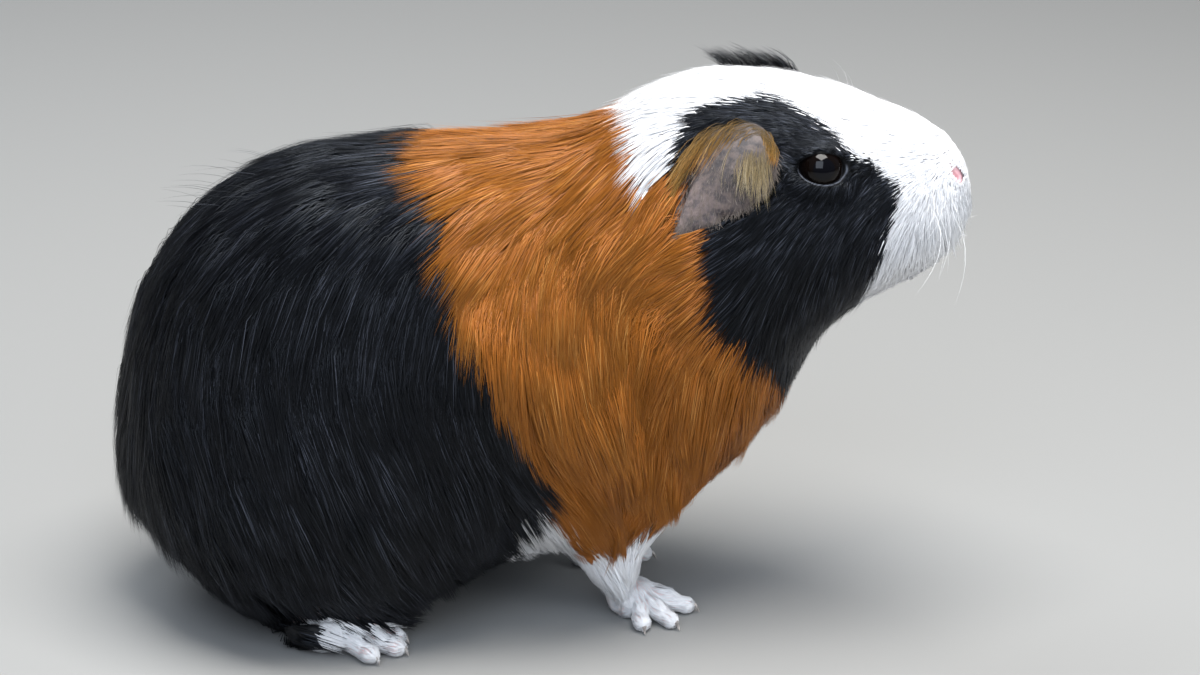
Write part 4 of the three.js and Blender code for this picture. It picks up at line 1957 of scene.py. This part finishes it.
    def cover(self, pelt: Pelt, region: Region, count: int) -> None:
        """Covers a part of a pelt.

        Args:
            pelt: The skin.
            region: The part.
            count: How many hairs.
        """
        on_feet = region is Region.FEET
        shares = np.array(self.foot_stations if on_feet else self.stations)
        taper = np.array(self.foot_taper if on_feet else self.taper)
        roots, crowd = pelt.sown(self.rng, count, lambda places: self.density(places, region))
        locks = self.grow(pelt, roots, shares, taper)
        headness = self.anatomy.headness(roots)
        low = smoothstep(0.35, 0.75, self.anatomy.height_share(roots))
        chest = smoothstep(10.0, 34.0, roots[:, 0]) * smoothstep(96.0, 70.0, roots[:, 2])
        coarse = (8.5 - 4.5 * headness, 0.12 + (0.12 + 0.16 * low + 0.25 * chest) * (1.0 - headness))
        fine = (2.2 - 1.0 * headness, 0.2 + 0.1 * chest)
        for cell, pull in (fine,) if on_feet else (coarse, fine):
            locks.gather(self.rng, crowd, cell, pull)
        keep = self.clear(locks)
        locks, roots = locks.taken(keep), roots[keep]
        loose = self.rng.normal(0.0, 0.6, len(roots)) + 1.2 * (locks.clump - 0.5)
        colour = self.markings.shares(locks.at(self.colour_at), loose).argmax(axis=1)
        colour[self.anatomy.footness(roots, 4.0) > 0.5] = FINISHES.index(WHITE)
        first = locks.spines[:, 1]
        early = self.markings.shares(first).argmax(axis=1) != colour
        locks.start_later(early, self.anatomy.depth(first))
        for number, finish in enumerate(FINISHES):
            self.dress(locks, roots, np.flatnonzero(colour == number), finish, region.value)

    def strew(self, label: str, finish: CoatFinish, tuft: Tuft) -> None:
        """Makes a tuft of hairs that stand on their own.

        Args:
            label: The tuft's name.
            finish: Its colour.
            tuft: Its hairs.
        """
        shares = np.linspace(0.0, 1.0, tuft.stations)
        taper = np.minimum(1.0, 4.0 * shares) * (1.0 - shares**1.6)
        place, spines = tuft.roots, [tuft.roots]
        for before, share in zip(shares, shares[1:]):
            turned = smoothstep(0.0, tuft.turned_by, (before + share) / 2.0)
            way = unit(tuft.first * (1.0 - turned) + tuft.last * turned)
            place = place + way * (tuft.length * (share - before))[:, None]
            spines.append(place)
        spines = np.stack(spines, axis=1)
        normals = np.repeat(tuft.normals[:, None], tuft.stations, axis=1)
        chance, clump = self.rng.random((2, len(place)))
        locks = Locks(shares, taper, spines, normals, tuft.width, chance, clump)
        if tuft.cell:
            even = np.ones(len(place))
            locks.gather(self.rng, tuft.crowd * even, tuft.cell * even, tuft.pull * even)
        keep = (locks.spines[:, :, 2] > self.strays_above_floor).all(axis=1)
        self.dress(locks, tuft.roots, np.flatnonzero(keep), finish, label)

    def dress(self, locks: Locks, roots: Array, chosen: Array, finish: CoatFinish, label: str) -> None:
        """Makes the hairs of one colour into pieces.

        Args:
            locks: All the hairs of a part.
            roots: Their roots.
            chosen: Which of them have this colour.
            finish: The colour.
            label: The part's name.
        """
        if not len(chosen):
            return
        faces_each = 6 * (locks.spines.shape[1] - 2)
        pieces = math.ceil(len(chosen) * faces_each / self.piece_limit)
        chosen = chosen[np.argsort(roots[chosen, 0])]
        material = finish.material()
        for number, part in enumerate(np.array_split(chosen, pieces), start=1):
            name = f"{label}_{finish.name}_{number}"
            spots = self.anatomy.spine_place(roots[part])
            piece = locks.taken(part).mesh(name, spots, self.thickness, self.twist, finish.softness)
            piece.data.materials.append(material)
            hand_over(piece, finish.slot)


@dataclass(frozen=True)
class EarLocks:
    """One kind of hair on the outer face of the ears. Sizes are in millimetres.

    A pair is a range that each hair's number is drawn from, but a heading has its mean and its spread,
    in degrees from down the petal to its free edge. A last heading of one number is a turn from the first.
    """

    label: str
    finish: CoatFinish
    count: int
    down: tuple[float, float]
    across: tuple[float, float]
    first: tuple[float, float]
    last: tuple[float, float] | float
    rises: tuple[tuple[float, float], tuple[float, float]]
    length: tuple[float, float]
    width: tuple[float, float]
    fan: float = 0.0
    gathering: dict[str, Any] = field(default_factory=dict)

    def rooted(self, rng: np.random.Generator, count: int) -> tuple[Array, Array, Array]:
        """Where the hairs stand.

        Args:
            rng: Where the chances come from.
            count: How many hairs.

        Returns:
            Each root's share of the petal's length, its place from the root of the ear (-1) to the free
            edge (1), and what its place adds to its first heading.
        """
        down = rng.uniform(*self.down, count)
        across = rng.uniform(*self.across, count)
        return down, across, self.fan * across

    def grown(self, anatomy: Anatomy, side: str, rng: np.random.Generator, count: int) -> Tuft:
        """Grows the hairs on one ear.

        Args:
            anatomy: Where the ear is.
            side: Which ear.
            rng: Where the chances come from.
            count: How many hairs.

        Returns:
            The hairs.
        """
        ear, head, mirror = anatomy.ear, anatomy.head, np.array([1.0, SIDES[side], 1.0])
        along, out, face = ear.axes()
        down, across, added = self.rooted(rng, count)
        first = rng.normal(*self.first, count) + added
        last = first + self.last if isinstance(self.last, float) else rng.normal(*self.last, count)
        roots = ear.surface(down, across, np.full(count, 0.45 * ear.thickness))
        vectors = [np.broadcast_to(face, roots.shape)]
        for swing, rise in zip((first, last), self.rises):
            angle, steep = np.radians(swing)[:, None], rng.uniform(*rise, count)[:, None]
            vectors.append(unit(np.cos(angle) * along + np.sin(angle) * out + steep * face))
        vectors = [head.turned(vector * mirror) for vector in vectors]
        length, width = rng.uniform(*self.length, count), rng.uniform(*self.width, count)
        return Tuft(head.outwards(roots * mirror), *vectors, length, width, **self.gathering)


@dataclass(frozen=True)
class RimLocks(EarLocks):
    """Hair that stands along the rim at the ear's root, and round its top corner."""

    corner_ends: float = 0.16
    corner_breadth: float = 1.8
    corner_turn: float = 38.0
    crowding: float = 1.3
    below: tuple[float, float] = (0.25, 0.6)
    below_turn: float = 26.0

    def rooted(self, rng: np.random.Generator, count: int) -> tuple[Array, Array, Array]:
        """Where the hairs stand: thickest near the top corner, and spread over it.

        Args:
            rng: Where the chances come from.
            count: How many hairs.

        Returns:
            What EarLocks.rooted returns.
        """
        down = rng.uniform(0.0, 1.0, count) ** self.crowding * self.down[1]
        corner = smoothstep(self.corner_ends, 0.0, down)
        across = rng.uniform(*self.across, count)
        across = across + self.corner_breadth * corner * rng.uniform(0.0, 1.0, count)
        return down, across, self.below_turn * smoothstep(*self.below, down) - self.corner_turn * corner


EAR_LOCKS = (
    # The fine short hair all over the face of the ear.
    EarLocks(
        "ear_down", DOWN, 1500, down=(0.03, 0.97), across=(-0.9, 0.98), first=(28.0, 16.0), last=8.0,
        rises=((0.12, 0.4), (0.0, 0.2)), length=(1.4, 2.8), width=(0.06, 0.1), gathering={"stations": 4},
    ),
    # The down that stands out past the free edge.
    EarLocks(
        "ear_edge", DOWN, 420, down=(0.02, 0.98), across=(0.88, 1.0), first=(55.0, 22.0), last=-15.0,
        rises=((-0.1, 0.3), (-0.2, 0.1)), length=(1.4, 3.0), width=(0.1, 0.16), gathering={"stations": 4},
    ),
    # The long golden locks that arch over the rim and sweep down behind the ear.
    RimLocks(
        "ear_rim", GOLD, 210, down=(0.0, 0.55), across=(-1.05, -0.8), first=(-30.0, 10.0), last=(11.0, 6.0),
        rises=((0.1, 0.4), (-0.06, 0.05)), length=(12.0, 21.0), width=(0.12, 0.2),
        gathering={"turned_by": 0.5, "stations": 7, "crowd": 1.8, "cell": 2.0},
    ),
    # The dark golden hair that arches over the top corner of the petal, towards its free edge.
    EarLocks(
        "ear_crest", GOLD, 260, down=(0.0, 0.06), across=(-0.9, 0.9), first=(62.0, 18.0), last=(30.0, 12.0),
        rises=((0.05, 0.3), (-0.05, 0.1)), length=(5.0, 9.0), width=(0.12, 0.2), fan=20.0,
        gathering={"turned_by": 0.6, "stations": 6, "crowd": 2.0, "cell": 1.6},
    ),
    # The golden tuft that hangs down the middle of the face.
    EarLocks(
        "ear_middle", STRAW, 340, down=(0.005, 0.2), across=(-0.6, 0.75), first=(28.0, 10.0), last=14.0,
        rises=((0.1, 0.3), (-0.06, 0.04)), length=(9.0, 16.0), width=(0.1, 0.15),
        gathering={"stations": 6, "crowd": 3.0, "cell": 1.5},
    ),
)


@dataclass
class Strays:
    """Whiskers, and the hairs that stand off the coat. Sizes are in millimetres."""

    anatomy: Anatomy
    pelt: Pelt
    rng: np.random.Generator
    whisker_hairs: int = 11
    peak_hairs: int = 700
    rump_hairs: int = 22

    def build(self, coat: Coat) -> None:
        """Grows them all.

        Args:
            coat: The coat that makes them into pieces.
        """
        for side in SIDES:
            coat.strew(f"whiskers_{side}", WHISKER, self.whiskers(side))
            coat.strew(f"brow_{side}", WHISKER, self.brow(side))
        coat.strew("crown_peak", BLACK, self.crown_peak())
        coat.strew("rump_strays", BLACK, self.rump_strays())

    def on_skin(self, local: Array) -> tuple[Array, Array]:
        """The skin's places and normals nearest to places of the head's frame."""
        place, normal, _ = self.pelt.nearest(self.anatomy.head.outwards(local))
        return place, normal

    def whiskers(self, side: str) -> Tuft:
        """The whiskers of one side of the muzzle.

        Args:
            side: Which side.

        Returns:
            The hairs.
        """
        rng, hand, count = self.rng, SIDES[side], self.whisker_hairs
        spots = rng.uniform((23.5, 9.0, -13.0), (31.5, 12.0, -3.0), (count, 3)) * (1.0, hand, 1.0)
        roots, normals = self.on_skin(spots)
        low = (spots[:, 2] + 3.0) / 10.0
        even = np.ones(count)
        first = np.column_stack([rng.uniform(-0.1, 0.8, count), 0.8 * hand * even, -0.1 + 0.7 * low])
        last = np.column_stack([rng.uniform(-0.9, 0.1, count), 0.45 * hand * even, -0.7 + 0.4 * low])
        headings = [self.anatomy.head.turned(unit(heading)) for heading in (first, last)]
        length, width = rng.uniform(16.0, 34.0, count), rng.uniform(0.08, 0.14, count)
        return Tuft(roots, normals, *headings, length, width, stations=9)

    def brow(self, side: str) -> Tuft:
        """The few long hairs over an eye.

        Args:
            side: Which side.

        Returns:
            The hairs.
        """
        rng, hand = self.rng, SIDES[side]
        spots = np.array([(4.0, 15.0, 8.0), (2.0, 15.5, 8.5), (5.5, 14.5, 7.5)]) * (1.0, hand, 1.0)
        roots, normals = self.on_skin(spots)
        first = normals + self.anatomy.head.turned(np.array([-0.2, 0.0, 0.3]))
        last = normals + self.anatomy.head.turned(np.array([-1.0, 0.0, -0.4]))
        length, width = rng.uniform(14.0, 20.0, len(spots)), np.full(len(spots), 0.15)
        return Tuft(roots, normals, unit(first), unit(last), length, width, stations=8)

    def crown_peak(self) -> Tuft:
        """The black hair that stands over the crown from the root of the left ear.

        Returns:
            The hairs.
        """
        rng, count = self.rng, self.peak_hairs
        spots = rng.uniform((-27.0, 7.0, 14.0), (-7.0, 16.0, 20.0), (count, 3))
        roots, normals = self.on_skin(spots)
        head = self.anatomy.head
        lean = rng.uniform(0.3, 1.0, (count, 1))
        first = 0.8 * normals + head.turned(np.array([-0.9, 0.1, 0.5])) * lean
        first = unit(first + rng.normal(0.0, 0.14, (count, 3)))
        last = unit(0.1 * normals + head.turned(np.array([-1.0, 0.1, 0.25])))
        length, width = rng.uniform(7.5, 13.5, count), rng.uniform(0.26, 0.4, count)
        return Tuft(roots, normals, first, last, length, width, stations=5, crowd=2.0, cell=2.4)

    def rump_strays(self) -> Tuft:
        """The guard hairs that stand off the top of the rump.

        Returns:
            The hairs.
        """
        rng, count = self.rng, self.rump_hairs
        spots = rng.uniform((-86.0, -14.0, 112.0), (-60.0, 18.0, 122.0), (count, 3))
        roots, normals, _ = self.pelt.nearest(spots)
        first = np.array([-1.0, 0.0, 0.0]) + 0.6 * normals + rng.normal(0.0, 0.1, (count, 3))
        last = np.array([-1.0, 0.0, -0.1]) + rng.normal(0.0, 0.14, (count, 3))
        length, width = rng.uniform(14.0, 21.0, count), rng.uniform(0.2, 0.32, count)
        settings = {"stations": 6, "crowd": 0.05, "cell": 6.0}
        return Tuft(roots, normals, unit(first), unit(last), length, width, **settings)


# ---------------------------------------------------------------- studio


@dataclass(frozen=True)
class Lamp:
    """A square soft light that faces the animal. Lengths are in metres and the power is in watts."""

    place: tuple[float, float, float]
    size: float
    power: float
    colour: tuple[float, float, float]
    mirrored: bool = True
    target: tuple[float, float, float] = (0.0, 0.0, 0.07)

    def hang(self) -> None:
        """Makes the lamp."""
        deselect()
        bpy.ops.object.light_add(type="AREA", location=self.place)
        lamp = bpy.context.object
        lamp.data.size = self.size
        lamp.data.energy = self.power
        lamp.data.color = self.colour
        lamp.visible_glossy = self.mirrored
        way = Vector(self.target) - Vector(self.place)
        lamp.rotation_euler = way.to_track_quat("-Z", "Y").to_euler()


@dataclass
class Studio:
    """The floor, the light and the camera. Lengths are in metres."""

    target: tuple[float, float, float] = (0.017, 0.0, 0.073)
    distance: float = 0.9
    elevation: float = 20.0
    width_seen: float = 0.322
    sensor: float = 36.0
    floor_size: float = 16.0
    floor_colour: tuple[float, float, float] = (0.24, 0.24, 0.235)
    sky_colour: tuple[float, float, float] = (0.78, 0.86, 1.0)
    sky_strength: float = 0.17
    lamps: tuple[Lamp, ...] = (
        Lamp((0.12, -0.12, 1.12), 0.7, 26.5, (1.0, 0.98, 0.95)),
        Lamp((-0.1, -0.95, 0.8), 0.8, 10.0, (0.78, 0.87, 1.0)),
        Lamp((0.75, -0.5, 0.3), 0.6, 4.0, (0.9, 0.95, 1.0), mirrored=False),
        Lamp((-0.5, 0.5, 0.95), 0.7, 7.0, (0.9, 0.95, 1.0)),
    )

    def build(self) -> None:
        """Makes the whole studio."""
        self.camera()
        self.floor()
        self.lights()

    def camera(self) -> None:
        """Sets the camera to look at the animal's right side, from a little above."""
        deselect()
        elevation = math.radians(self.elevation)
        back = Vector((0.0, -math.cos(elevation), math.sin(elevation)))
        bpy.ops.object.camera_add(location=Vector(self.target) + back * self.distance)
        camera = bpy.context.object
        camera.rotation_mode = "QUATERNION"
        camera.rotation_quaternion = (-back).to_track_quat("-Z", "Y")
        camera.data.sensor_width = self.sensor
        camera.data.lens = self.sensor * self.distance / self.width_seen
        bpy.context.scene.camera = camera

    def floor(self) -> None:
        """Lays a plain pale floor."""
        deselect()
        bpy.ops.mesh.primitive_plane_add(size=self.floor_size)
        floor = bpy.context.object
        floor.name = "floor"
        paint = Surface("floor_paint", Roughness=0.9, Base_Color=rgba(*self.floor_colour))
        floor.data.materials.append(paint.material)

    def lights(self) -> None:
        """Lights the sky weakly, and hangs the lamps above, behind the camera, ahead and behind."""
        world = bpy.data.worlds.new("studio")
        world.use_nodes = True
        sky = world.node_tree.nodes["Background"]
        sky.inputs["Color"].default_value = rgba(*self.sky_colour)
        sky.inputs["Strength"].default_value = self.sky_strength
        bpy.context.scene.world = world
        bpy.context.scene.view_settings.view_transform = "Standard"
        for lamp in self.lamps:
            lamp.hang()


# ---------------------------------------------------------------- the whole


def main() -> None:
    """Builds the studio and the animal."""
    logging.basicConfig(level=logging.INFO, format="%(name)s: %(message)s")
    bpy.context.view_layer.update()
    anatomy = Anatomy()
    Studio().build()
    markings = Markings(anatomy)
    muzzle = Muzzle()
    skin = Skin(anatomy, markings, muzzle).build()
    EyeBalls().build(anatomy.head)
    dress_claws()
    pelt = Pelt(anatomy, skin)
    coat = Coat(anatomy, markings, muzzle, np.random.default_rng(5))
    scale = 1.0
    for region, count in HAIRS.items():
        coat.cover(pelt, region, int(count * scale))
    for side in SIDES:
        for locks in EAR_LOCKS:
            tuft = locks.grown(anatomy, side, coat.rng, int(locks.count * scale))
            coat.strew(f"{locks.label}_{side}", locks.finish, tuft)
    Strays(anatomy, pelt, coat.rng).build(coat)


if __name__ == "__main__":
    main()
